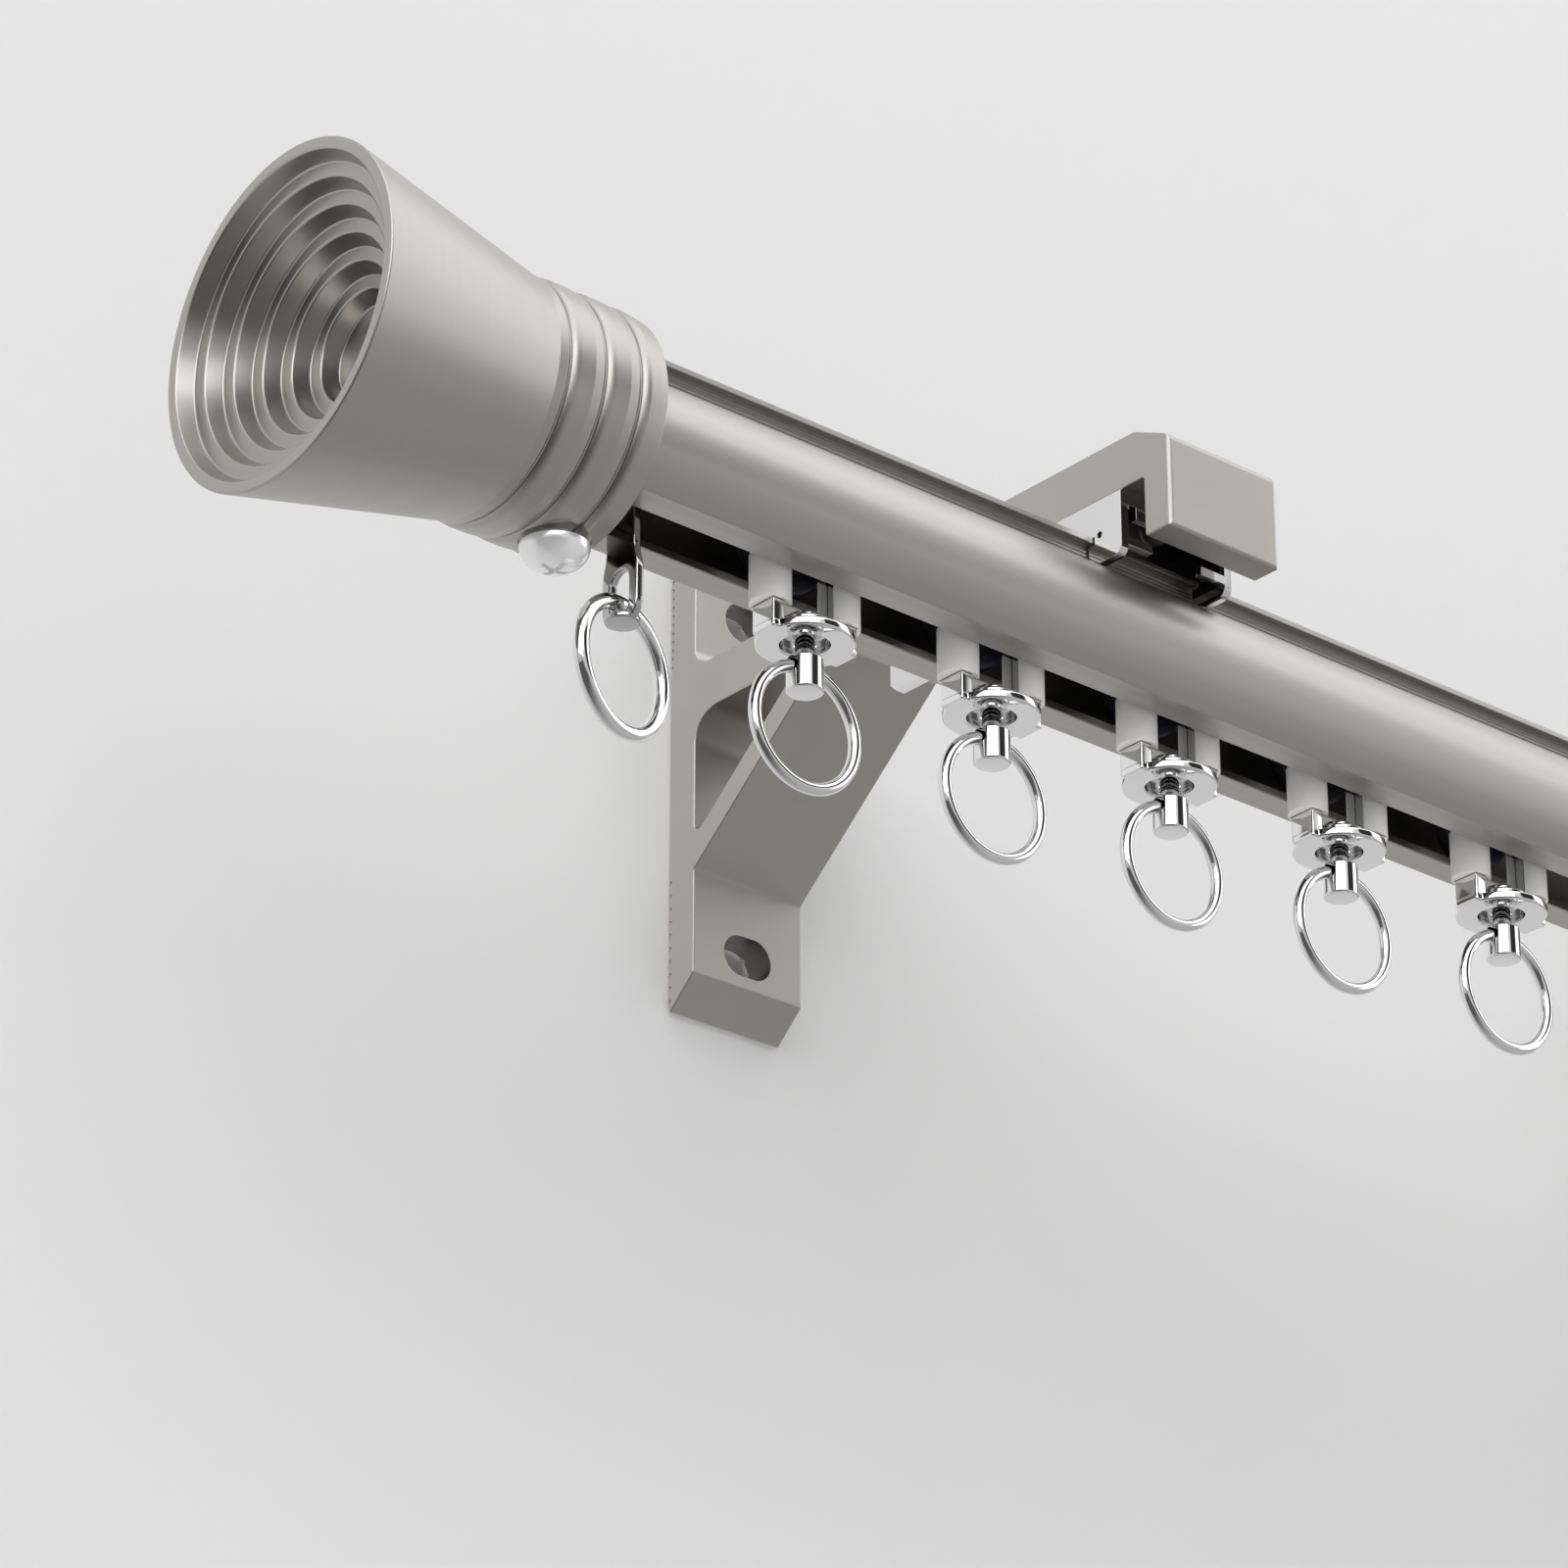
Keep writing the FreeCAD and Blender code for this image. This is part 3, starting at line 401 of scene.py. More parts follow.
def lathe(outline, start, direction, count=96, closed=False):
    """Surface of revolution of an outline of (distance along the axis, radius).

    Each outline point becomes a ring start + s * axis + r * (cos a * u + sin a * v), where u and v stand
    square to the axis. A point with no radius becomes one pole. A closed outline joins its ends.
    """
    outline = np.asarray(outline, float)
    axis = unit(np.asarray(direction, float))
    u = unit(np.cross(axis, [0.3, 0.5, 0.81]))
    v = np.cross(axis, u)
    angle = np.linspace(0, math.tau, count, endpoint=False)
    around = np.cos(angle)[:, None] * u + np.sin(angle)[:, None] * v
    s, r = outline[:, 0], outline[:, 1]
    rings = np.asarray(start, float) + s[:, None, None] * axis + r[:, None, None] * around
    pole = r < 1e-6
    keep = np.ones((len(r), count), bool)
    keep[pole, 1:] = False
    number = np.cumsum(keep.ravel()).reshape(keep.shape) - 1
    number = np.where(pole[:, None], number[:, :1], number)
    number = np.concatenate([number, number[:, :1]], axis=1)
    if closed:
        number = np.concatenate([number, number[:1]], axis=0)
    quads = grid_faces(number)
    first = quads[:, 0] == quads[:, 3]
    last = quads[:, 1] == quads[:, 2]
    faces = quads[~first & ~last].tolist() + quads[first & ~last][:, :3].tolist()
    faces += quads[last & ~first][:, [0, 1, 3]].tolist()
    return rings.reshape(-1, 3)[keep.ravel()], faces


def plate(outlines, low, high, axes, rounding=0.2, steps=3, belts=()):
    """Flat plate between two levels with rounded rims.

    The outlines, the outer one first and holes after it, are carried from level to level. A rim's row at
    angle a lies rounding * (1 - cos a) from the face and rounding * (1 - sin a) inside the outline. Further
    rows lie at the belts' distances from both faces, which are triangulated with their holes. The axes turn
    (outline, outline, level) into X, Y and Z.
    """
    angle = np.linspace(0, math.pi / 2, steps + 1) if rounding > 0 else np.array([math.pi / 2])
    inset = rounding * (1 - np.sin(angle))
    rise = rounding * (1 - np.cos(angle))
    rise = np.concatenate([rise, belts])
    inset = np.concatenate([inset, np.zeros(len(belts))])
    inset = np.concatenate([inset, inset[::-1]])
    level = np.concatenate([low + rise, high - rise[::-1]])
    points, faces, loops = [], [], []
    base = 0
    for number, outline in enumerate(outlines):
        outline = np.asarray(outline, float)
        if (area(outline) > 0) != (number == 0):
            outline = outline[::-1]
        flat = outline[None] + inset[:, None, None] * inward(outline)[None]
        rows = np.concatenate([flat, np.broadcast_to(level[:, None, None], flat.shape[:2] + (1,))], axis=2)
        index = base + np.arange(rows.shape[0] * rows.shape[1]).reshape(rows.shape[:2])
        faces += grid_faces(np.concatenate([index, index[:, :1]], axis=1)).tolist()
        points.append(rows.reshape(-1, 3))
        loops.append((index[0], index[-1], flat[0]))
        base += index.size
    caps = tessellate_polygon([[Vector((p[0], p[1], 0)) for p in loop[2]] for loop in loops])
    for side in (0, 1):
        numbers = np.concatenate([loop[side] for loop in loops])
        faces += numbers[np.array(caps)].tolist()
    return np.concatenate(points) @ np.asarray(axes, float), faces


ALONG_X = [(0, 1, 0), (0, 0, 1), (1, 0, 0)]
ALONG_Y = [(1, 0, 0), (0, 0, 1), (0, 1, 0)]
ALONG_Z = [(1, 0, 0), (0, 1, 0), (0, 0, 1)]


def bar(x, y, z, rounding=0.3):
    """Rounded block between two values on each axis."""
    corners = [(x[0], y[0]), (x[1], y[0]), (x[1], y[1]), (x[0], y[1])]
    return plate([rounded(corners, rounding, 3)], z[0], z[1], ALONG_Z, rounding)


def wire_ring(radius, wire, centre, turn=0.0, around=128, section=28):
    """Wire bent to a ring in an upright plane: centre + (R + w cos b)(cos a, 0, sin a) + w sin b (0, 1, 0),
    turned about the vertical."""
    a = np.linspace(0, math.tau, around, endpoint=False)[:, None]
    b = np.linspace(0, math.tau, section, endpoint=False)[None]
    reach = radius + wire * np.cos(b)
    flat = reach * np.cos(a)
    side = wire * np.sin(b) + 0 * a
    points = np.stack([flat * math.cos(turn) - side * math.sin(turn),
                       flat * math.sin(turn) + side * math.cos(turn), reach * np.sin(a)], axis=2)
    index = np.arange(around * section).reshape(around, section)
    index = np.concatenate([index, index[:, :1]], axis=1)
    index = np.concatenate([index, index[:1]], axis=0)
    return points.reshape(-1, 3) + np.asarray(centre, float), grid_faces(index).tolist()


def joined(forms):
    """Several forms as one."""
    points, faces, base = [], [], 0
    for more_points, more_faces in forms:
        points.append(more_points)
        faces += [[base + n for n in face] for face in more_faces]
        base += len(more_points)
    return np.concatenate(points), faces


def moved(form, x=0.0, mirror=False):
    """A form shifted along the rail, after being mirrored left to right if asked."""
    points = form[0] * ((-1, 1, 1) if mirror else (1, 1, 1))
    return points + (x, 0, 0), form[1]


# Pieces

def to_frame(points, rail):
    """Rail coordinates in millimetres to the frame's metres."""
    return (points + (0, -rail.wall_to_axis, rail.axis_height)) / 1000


def mesh_of(name, form, rail):
    """Mesh from a form, all of its shells facing outwards."""
    mesh = bpy.data.meshes.new(name)
    mesh.from_pydata(to_frame(form[0], rail).tolist(), [], form[1])
    work = bmesh.new()
    work.from_mesh(mesh)
    bmesh.ops.recalc_face_normals(work, faces=work.faces)
    work.to_mesh(mesh)
    work.free()
    return mesh


def cut(mesh, form, rail):
    """The mesh with a form taken out of it."""
    body = bpy.data.objects.new("cut_body", mesh)
    tool = bpy.data.objects.new("cut_tool", mesh_of("cut_tool", form, rail))
    for piece in (body, tool):
        bpy.context.scene.collection.objects.link(piece)
    modifier = body.modifiers.new("cut", "BOOLEAN")
    modifier.object = tool
    modifier.solver = "EXACT"
    modifier.use_self = False
    graph = bpy.context.evaluated_depsgraph_get()
    result = bpy.data.meshes.new_from_object(body.evaluated_get(graph))
    bpy.data.objects.remove(body)
    bpy.data.objects.remove(tool)
    return result


def set_piece(name, mesh, body, node, material, sharp):
    """Puts a mesh into the scene as a piece, on its body and in its node's place."""
    mesh.name = name
    mesh.materials.clear()
    mesh.materials.append(bpy.data.materials[material])
    mesh.shade_smooth()
    mesh.set_sharp_from_angle(angle=math.radians(sharp))
    piece = bpy.data.objects.new(name, mesh)
    bpy.context.scene.collection.objects.link(piece)
    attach(piece, body)
    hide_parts(node)
    return piece


def add_piece(name, mesh, body, node, material, sharp=50):
    """Adds a finished mesh as a piece whose flat faces keep even shading."""
    piece = set_piece(name, mesh, body, node, material, sharp)
    normals = piece.modifiers.new("even_shading", "WEIGHTED_NORMAL")
    normals.keep_sharp = True
    normals.weight = 80


def add_form(name, form, rail, body, node, slot, material, sharp=50):
    """Adds a form as a finished piece."""
    add_piece(name, mesh_of(name, form, rail), body, node, material, sharp)


def add_eased_copy(name, node, width, body, material, sharp=40):
    """Adds a merged copy of a CAD node with its sharp edges rounded."""
    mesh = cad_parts[node].data.copy()
    work = bmesh.new()
    work.from_mesh(mesh)
    bmesh.ops.remove_doubles(work, verts=work.verts, dist=2e-6)
    bmesh.ops.dissolve_limit(work, angle_limit=math.radians(1), verts=work.verts, edges=work.edges)
    work.to_mesh(mesh)
    work.free()
    easing = set_piece(name, mesh, body, node, material, sharp).modifiers.new("eased_edges", "BEVEL")
    easing.width = width / 1000
    easing.segments = 2
    easing.limit_method = "ANGLE"
    easing.angle_limit = math.radians(sharp)
    easing.harden_normals = True


# Materials

NOISE_LOW, NOISE_HIGH = 0.3, 0.7   # most of a noise lies between these


def metres(*millimetres):
    """Numbers in millimetres as numbers in metres."""
    return [value / 1000 for value in millimetres]


def add_node(tree, kind, values=None, **settings):
    """A shader node with its settings, its input values and its incoming links."""
    node = tree.nodes.new("ShaderNode" + kind)
    for key, value in settings.items():
        setattr(node, key, value)
    for key, value in (values or {}).items():
        if isinstance(value, bpy.types.NodeSocket):
            tree.links.new(value, node.inputs[key])
        else:
            node.inputs[key].default_value = value
    return node


def maths(tree, operation, *values):
    """The result of a Math node."""
    return add_node(tree, "Math", dict(enumerate(values)), operation=operation).outputs[0]


def vector_maths(tree, operation, *values):
    """The result of a Vector Math node, which is a number for a length or a dot product."""
    outputs = add_node(tree, "VectorMath", dict(enumerate(values)), operation=operation).outputs
    return outputs["Value" if operation in ("LENGTH", "DOT_PRODUCT") else "Vector"]


def combined(tree, x, y, z):
    """A vector from its three parts."""
    return add_node(tree, "CombineXYZ", {"X": x, "Y": y, "Z": z}).outputs[0]


def parted(tree, vector):
    """The three parts of a vector."""
    return add_node(tree, "SeparateXYZ", {0: vector}).outputs


def noise(tree, vector, scale, detail, roughness=0.5):
    """Noise read at a vector."""
    return add_node(tree, "TexNoise", {"Vector": vector, "Scale": scale, "Detail": detail,
                                       "Roughness": roughness}).outputs[0]


def mapped(tree, value, start, end, low, high, curve="LINEAR"):
    """A value carried over from the range start to end to the range low to high."""
    return add_node(tree, "MapRange", {"Value": value, "From Min": start, "From Max": end, "To Min": low,
                                       "To Max": high}, interpolation_type=curve).outputs[0]


def new_group(name, **inputs):
    """An empty shader node group and its inputs, vectors where the default is None and numbers elsewhere."""
    tree = bpy.data.node_groups.new(name, "ShaderNodeTree")
    for key, value in inputs.items():
        kind = "NodeSocketVector" if value is None else "NodeSocketFloat"
        socket = tree.interface.new_socket(name=key, in_out="INPUT", socket_type=kind)
        if value is not None:
            socket.default_value = value
    return tree, tree.nodes.new("NodeGroupInput").outputs


def give(tree, **results):
    """Finishes a group: each result becomes an output of that name."""
    for key in results:
        tree.interface.new_socket(name=key, in_out="OUTPUT", socket_type="NodeSocketFloat")
    end = tree.nodes.new("NodeGroupOutput")
    for key, value in results.items():
        tree.links.new(value, end.inputs[key])
    return tree


def drawn_lines():
    """Fine lines that extrusion leaves along X: noise squeezed along X and read across it."""
    tree, given = new_group("drawn_lines", Vector=None, Scale=5200.0, Stretch=0.004)
    squeezed = vector_maths(tree, "MULTIPLY", given["Vector"], combined(tree, given["Stretch"], 1.0, 1.0))
    broad = maths(tree, "MULTIPLY", given["Scale"], 0.12)
    return give(tree, Height=noise(tree, squeezed, given["Scale"], 2.0, 0.6),
                Tone=noise(tree, squeezed, broad, 1.0))


def turned_lines():
    """Fine circles that turning leaves: noise read over the distance along the axis and from it."""
    tree, given = new_group("turned_lines", Vector=None, Scale=5200.0)
    x, y, z = parted(tree, given["Vector"])
    place = combined(tree, x, vector_maths(tree, "LENGTH", combined(tree, 0.0, y, z)), 0.0)
    broad = maths(tree, "MULTIPLY", given["Scale"], 0.1)
    return give(tree, Height=noise(tree, place, given["Scale"], 2.0, 0.6),
                Tone=noise(tree, place, broad, 2.0))


def fine_grain():
    """Even grain of a blasted or moulded surface, with a slow change of tone over it."""
    tree, given = new_group("fine_grain", Vector=None, Scale=6000.0)
    slow = maths(tree, "MULTIPLY", given["Scale"], 0.008)
    return give(tree, Height=noise(tree, given["Vector"], given["Scale"], 3.0, 0.65),
                Tone=noise(tree, given["Vector"], slow, 2.0))


def box_mask():
    """One inside a box and zero outside. The box stands twice along X, on both sides of Mirror, and twice in
    height, once above and once below zero."""
    tree, given = new_group("box_mask", Vector=None, Mirror=0.0, Centre=None, Half=None)
    x, y, z = parted(tree, given["Vector"])
    along = maths(tree, "ABSOLUTE", maths(tree, "SUBTRACT", x, given["Mirror"]))
    folded = combined(tree, along, y, maths(tree, "ABSOLUTE", z))
    away = vector_maths(tree, "ABSOLUTE", vector_maths(tree, "SUBTRACT", folded, given["Centre"]))
    x, y, z = parted(tree, vector_maths(tree, "SUBTRACT", given["Half"], away))
    least = maths(tree, "MINIMUM", maths(tree, "MINIMUM", x, y), z)
    return give(tree, Mask=maths(tree, "GREATER_THAN", least, 0.0))


def bell_mask(rail, finial):
    """One on the terraces of both bells: where the distance from the axis, plus a fifth of the depth from the
    rim, stays under the mouth's radius."""
    left, right = metres(*track_ends(rail))
    mouth = (finial.rim_radius - finial.lip + SEAT_GAP) / 1000
    tree, given = new_group("bell_mask", Vector=None)
    x, y, z = parted(tree, given["Vector"])
    radius = vector_maths(tree, "LENGTH", combined(tree, 0.0, y, z))
    away = maths(tree, "ABSOLUTE", maths(tree, "SUBTRACT", x, (left + right) / 2))
    depth = maths(tree, "SUBTRACT", (right - left) / 2, away)
    reach = maths(tree, "MULTIPLY_ADD", depth, 0.2, radius)
    return give(tree, Mask=maths(tree, "LESS_THAN", reach, mouth))


class Finish:
    """A material under way: its tree, Principled shader, object coordinates and placed effects."""

    def __init__(self, name, metallic):
        material = bpy.data.materials.new(name)
        material.use_nodes = True
        self.tree = material.node_tree
        self.shader = self.tree.nodes["Principled BSDF"]
        self.shader.inputs["Metallic"].default_value = metallic
        self.place = add_node(self.tree, "TexCoord").outputs["Object"]

    def centred(self, *point):
        """Object coordinates measured from a point."""
        location = [-value for value in point]
        return add_node(self.tree, "Mapping", {"Vector": self.place, "Location": location}).outputs[0]

    def effect(self, group, **values):
        """The outputs of a shared effect, placed with its own values."""
        return add_node(self.tree, "Group", {"Vector": self.place, **values}, node_tree=group).outputs

    def colour(self, mask, base, spread, shaded=None, shade=1.0):
        """Base Color from a little darker to a little lighter than base over the mask, times the shade where
        the shaded mask is one."""
        ramp = add_node(self.tree, "ValToRGB", {0: mask})
        stops = ((NOISE_LOW, 1 - spread), (NOISE_HIGH, 1 + spread))
        for element, (position, factor) in zip(ramp.color_ramp.elements, stops):
            element.position = position
            element.color = [min(c * factor, 1.0) for c in base] + [1.0]
        result = ramp.outputs[0]
        if shaded is not None:
            level = mapped(self.tree, shaded, 0.0, 1.0, 1.0, shade)
            scaled = add_node(self.tree, "VectorMath", {0: result, "Scale": level}, operation="SCALE")
            result = scaled.outputs[0]
        self.tree.links.new(result, self.shader.inputs["Base Color"])

    def roughness(self, mask, low, high, polished=None, polish=0.0):
        """Roughness from low to high over the mask, and the polish where the polished mask is one."""
        span = mapped(self.tree, mask, NOISE_LOW, NOISE_HIGH, low, high)
        if polished is not None:
            span = mapped(self.tree, polished, 0.0, 1.0, span, polish)
        self.tree.links.new(span, self.shader.inputs["Roughness"])

    def bump(self, height, depth):
        """Surface relief of the given depth in millimetres."""
        node = add_node(self.tree, "Bump", {"Height": height, "Distance": depth / 1000, "Strength": 1.0})
        self.tree.links.new(node.outputs[0], self.shader.inputs["Normal"])


def drawn_nickel(colour, grain, box, rail):
    """Satin nickel of the rail: drawn lines, and painted shade on a rougher band in the recess under the
    flange.
    """
    made = Finish("satin_nickel_drawn", 1.0)
    streak = made.effect(drawn_lines(), Scale=5200.0, Stretch=0.004)
    speck = made.effect(grain, Scale=5500.0)
    low = math.sqrt(rail.radius ** 2 - (rail.neck / 2) ** 2) - rail.centre_drop + rail.axis_height
    high = rail.flange_rise
    half = metres(1000, rail.neck / 2 + FREE_GAP, (high - low) / 2)
    recess = made.effect(box, Centre=metres(0, -rail.wall_to_axis, (low + high) / 2), Half=half)["Mask"]
    # painted shade: the colour drops to 0.85 in the recess under the flange
    made.colour(streak["Tone"], colour, 0.03, recess, 0.85)
    made.roughness(speck["Height"], 0.34, 0.44, recess, 0.46)
    made.bump(streak["Height"], 0.0012)


def turned_nickel(colour, grain, rail, finial):
    """Satin nickel of the finials: turned circles, and painted shade on the shinier terraces in the bell."""
    made = Finish("satin_nickel_turned", 1.0)
    centred = made.centred(*metres(0, -rail.wall_to_axis, rail.axis_height))
    circle = made.effect(turned_lines(), Vector=centred, Scale=5200.0)
    speck = made.effect(grain, Scale=5500.0)
    bell = made.effect(bell_mask(rail, finial), Vector=centred)["Mask"]
    # painted shade: the colour drops to 0.92 on the bell's terraces
    made.colour(circle["Tone"], colour, 0.012, bell, 0.92)
    made.roughness(speck["Height"], 0.34, 0.42, bell, 0.29)
    made.bump(circle["Height"], 0.0004)


def blasted_nickel(colour, grain, box, rail, bracket):
    """Satin nickel of the brackets: blasted grain, and painted shade on the walls of the screw slots."""
    made = Finish("satin_nickel_blasted", 1.0)
    speck = made.effect(grain, Scale=5500.0)
    middle, beyond, skin = rail.bracket_spacing / 2, 0.05, 0.2
    length_half, height_half = bracket.slot_length / 2 + beyond, bracket.slot_height / 2 + beyond
    centre = metres(middle, -bracket.plate / 2, bracket.slot_spacing / 2)
    half = metres(length_half, bracket.plate / 2 - skin, height_half)
    hole = made.effect(box, Mirror=middle / 1000, Centre=centre, Half=half)["Mask"]
    # painted shade: the colour drops to a fifth on the slots' walls
    made.colour(speck["Tone"], colour, 0.03, hole, 0.2)
    made.roughness(speck["Height"], 0.38, 0.52)
    made.bump(speck["Height"], 0.004)


def clip_chrome(colour, grain, box, rail, clip):
    """Chrome of the clips and lock levers, dark between the clip's cheeks, where little light comes."""
    made = Finish("clip_chrome", 1.0)
    speck = made.effect(grain, Scale=9000.0)
    middle = rail.bracket_spacing / 2
    centre = metres(middle, clip.inside_back - rail.wall_to_axis, clip.inside_level + rail.axis_height)
    half = metres(clip.inside_width / 2, clip.inside_depth / 2, clip.inside_height / 2)
    inner = made.effect(box, Mirror=(middle + clip.middle) / 1000, Centre=centre, Half=half)["Mask"]
    made.colour(speck["Tone"], [0.9 * c for c in colour], 0.02, inner, 0.05)
    made.roughness(speck["Tone"], 0.05, 0.09, inner, 0.4)


def plain_finish(name, metallic, grain, scale, colour, spread, mask, low, high, relief=0.0):
    """A finish of one grain: its Tone spreads the colour, its Height or Tone takes the roughness from low to
    high, and its Height makes the relief."""
    made = Finish(name, metallic)
    speck = made.effect(grain, Scale=scale)
    made.colour(speck["Tone"], colour, spread)
    made.roughness(speck[mask], low, high)
    if relief:
        made.bump(speck["Height"], relief)
    return made.shader.inputs


def make_finishes(context):
    """All materials of the track, built once."""
    colours = context.scene.track_finish
    rail, finial, bracket, clip = sizes(context, "track_rail", "track_finial", "track_bracket", "track_clip")
    grain, box = fine_grain(), box_mask()
    drawn_nickel(colours.nickel, grain, box, rail)
    turned_nickel(colours.nickel, grain, rail, finial)
    blasted_nickel(colours.blasted, grain, box, rail, bracket)
    clip_chrome(colours.chrome, grain, box, rail, clip)
    plain_finish("polished_chrome", 1.0, grain, 9000.0, colours.chrome, 0.02, "Tone", 0.03, 0.06)
    plain_finish("bright_zinc", 0.5, grain, 6000.0, colours.zinc, 0.02, "Tone", 0.16, 0.20)
    # painted dark reflection: the end stops' sheet is the chrome darkened to half
    plain_finish("plated_sheet", 1.0, grain, 9000.0, colours.sheet, 0.02, "Tone", 0.10, 0.14)
    plain_finish("dark_steel", 1.0, grain, 7000.0, colours.steel, 0.08, "Height", 0.28, 0.42)
    plain_finish("ground_bearing_steel", 1.0, grain, 8000.0, colours.bearing, 0.05, "Height", 0.16, 0.26)
    # painted shade: the tyres' blue is darkened nearly to black
    plain_finish("blue_moulded_tyre", 0.0, grain, 3000.0, colours.tyre, 0.10, "Height", 0.30, 0.42, 0.006)
    nylon = plain_finish("white_nylon", 0.0, grain, 3500.0, colours.nylon, 0.015, "Tone", 0.38, 0.46, 0.004)
    nylon["Subsurface Weight"].default_value = 0.15
    nylon["Subsurface Radius"].default_value = metres(1, 1, 1)
    nylon["Subsurface Scale"].default_value = 1.0


# Operators

class TRACK_OT_finishes(bpy.types.Operator):
    """Build the materials of the track"""

    bl_idname = "curtain_track.finishes"
    bl_label = "Finishes"

    def execute(self, context):
        make_finishes(context)
        return {"FINISHED"}


def rail_outline(rail):
    """Section of the extrusion as (y, z): lips, round body, grooved neck and flange, then the cavity."""
    middle = (0, -rail.centre_drop)
    reach = math.sqrt(rail.radius ** 2 - (rail.bottom - rail.centre_drop) ** 2)
    low = math.atan2(rail.centre_drop - rail.bottom, reach)
    outside, inside = 60, 72
    body = arc(middle, rail.radius, low, math.acos(rail.neck / 2 / rail.radius), outside)
    shoulder = body[-1, 1]
    under = shoulder + rail.flange_rise
    top = under + rail.flange_edge
    z = shoulder + rail.rib_start + rail.rib_pitch * np.arange(rail.ribs)[:, None]
    z = z + rail.rib_depth * np.array([-1, 0, 1])
    y = np.broadcast_to(rail.neck / 2 - rail.rib_depth * np.array([0, 1, 0]), z.shape)
    ribs = np.stack([y.ravel(), z.ravel()], axis=1)
    half = np.concatenate([
        [(rail.slot / 2, rail.lip - rail.bottom), (rail.slot / 2, -rail.bottom)], body, ribs,
        [(rail.neck / 2, under), (rail.flange_width / 2, under), (rail.flange_width / 2, top)],
    ])
    radii = [0.2, 0.25] + ends(0.35, outside, 0.2) + [0.03] * len(ribs) + [0.1, 0.1, 0.12]
    bore = rail.radius - rail.wall
    corner = math.asin((rail.lip - rail.bottom + rail.centre_drop) / bore)
    cavity = arc(middle, bore, math.pi - corner, corner, inside)
    outline = np.concatenate([half, half[::-1] * (-1, 1), cavity])
    return rounded(outline, radii + radii[::-1] + ends(0.3, inside, 0.3), 4)


class TRACK_OT_rail(bpy.types.Operator):
    """Add the slotted round rail: its section carried along X"""

    bl_idname = "curtain_track.rail"
    bl_label = "Rail"

    def execute(self, context):
        rail, finial = sizes(context, "track_rail", "track_finial")
        left, right = track_ends(rail)
        inset = finial.cone + finial.neck - finial.socket_depth + SEAT_GAP
        form = plate([rail_outline(rail)], left + inset, right - inset, ALONG_X, 0.0)
        add_form("drawn_rail", form, rail, "track", "rail", "satin_nickel", "satin_nickel_drawn", 40)
        return {"FINISHED"}


def finial_outline(finial):
    """Half section of the finial as (distance from the rim, radius): the bell's terraces from its floor out,
    the cone, the bands and the socket.

    A band curves up out of its groove by shoulder * (1 - cos a) along the axis and groove * sin a outwards.
    """
    number = np.arange(finial.steps - 1, -1, -1)
    top = finial.rim_radius - finial.lip - number * finial.step_pitch
    s = np.stack([(number + 1) * finial.step_depth, number * finial.step_depth], axis=1).ravel()
    r = np.stack([top - finial.step_taper, top], axis=1).ravel()
    bell = np.concatenate([[(finial.steps * finial.step_depth, 0.0)], np.stack([s, r], axis=1)])
    bell_radii = np.concatenate([[0], np.tile([0.35, 0.5], finial.steps)])
    strip = finial.neck_radius - finial.strip_drop
    groove = finial.neck_radius - finial.groove
    end = finial.cone + finial.neck
    start = finial.cone + finial.band_start + finial.band_pitch * np.arange(finial.bands)[:, None]
    curve = 9
    angle = np.linspace(0, math.pi / 2, curve)[None]
    rise_s = start + finial.groove_floor + finial.shoulder * (1 - np.cos(angle))
    rise_r = groove + finial.groove * np.sin(angle) + 0 * start
    far = start + finial.band_pitch - finial.strip
    band_s = np.concatenate([start - finial.groove_slope, start, rise_s, far], axis=1)
    crest = finial.neck_radius + 0 * start
    band_r = np.concatenate([strip + 0 * start, groove + 0 * start, rise_r, crest], axis=1)
    bands = np.stack([band_s.ravel(), band_r.ravel()], axis=1)[:-1]
    band_radii = np.tile([0.2, 0.1] + ends(0.1, curve, 0) + [1.0], finial.bands)[:-1]
    shell = [(0, finial.rim_radius), (finial.cone, finial.neck_radius - finial.cone_step)]
    bore = [(end, finial.neck_radius - finial.taper), (end, finial.socket_radius),
            (end - finial.socket_depth, finial.socket_radius), (end - finial.socket_depth, 0)]
    radii = np.concatenate([bell_radii, [0.35, 0.4], band_radii, [0.35, 0.2, 0.2, 0]])
    return rounded(np.concatenate([bell, shell, bands, bore]), radii, 6)


class TRACK_OT_finials(bpy.types.Operator):
    """Add the two trumpet finials: a half section spun round the rail's axis"""

    bl_idname = "curtain_track.finials"
    bl_label = "Finials"

    def execute(self, context):
        rail, finial = sizes(context, "track_rail", "track_finial")
        outline = finial_outline(finial)
        last = int(np.argmin(np.abs(outline - outline[-1]).sum(1)))
        form = lathe(outline[:last + 1], (0, 0, 0), (1, 0, 0), 192)
        seat = finial.screw_seat - finial.neck_radius
        x = finial.cone + finial.neck - finial.screw_inset
        wide = finial.screw_radius + finial.seat_margin
        drill = lathe(rod(wide, -2 * finial.neck_radius, seat), (x, 0, 0), (0, 0, 1), 96)
        for side, end, mirror in track_sides(rail):
            mesh = mesh_of("turned_finial", moved(form, end, mirror), rail)
            mesh = cut(mesh, moved(drill, end, mirror), rail)
            add_piece("turned_finial_" + side, mesh, "track", "finial_" + side,
                      "satin_nickel_turned", 55)
        return {"FINISHED"}


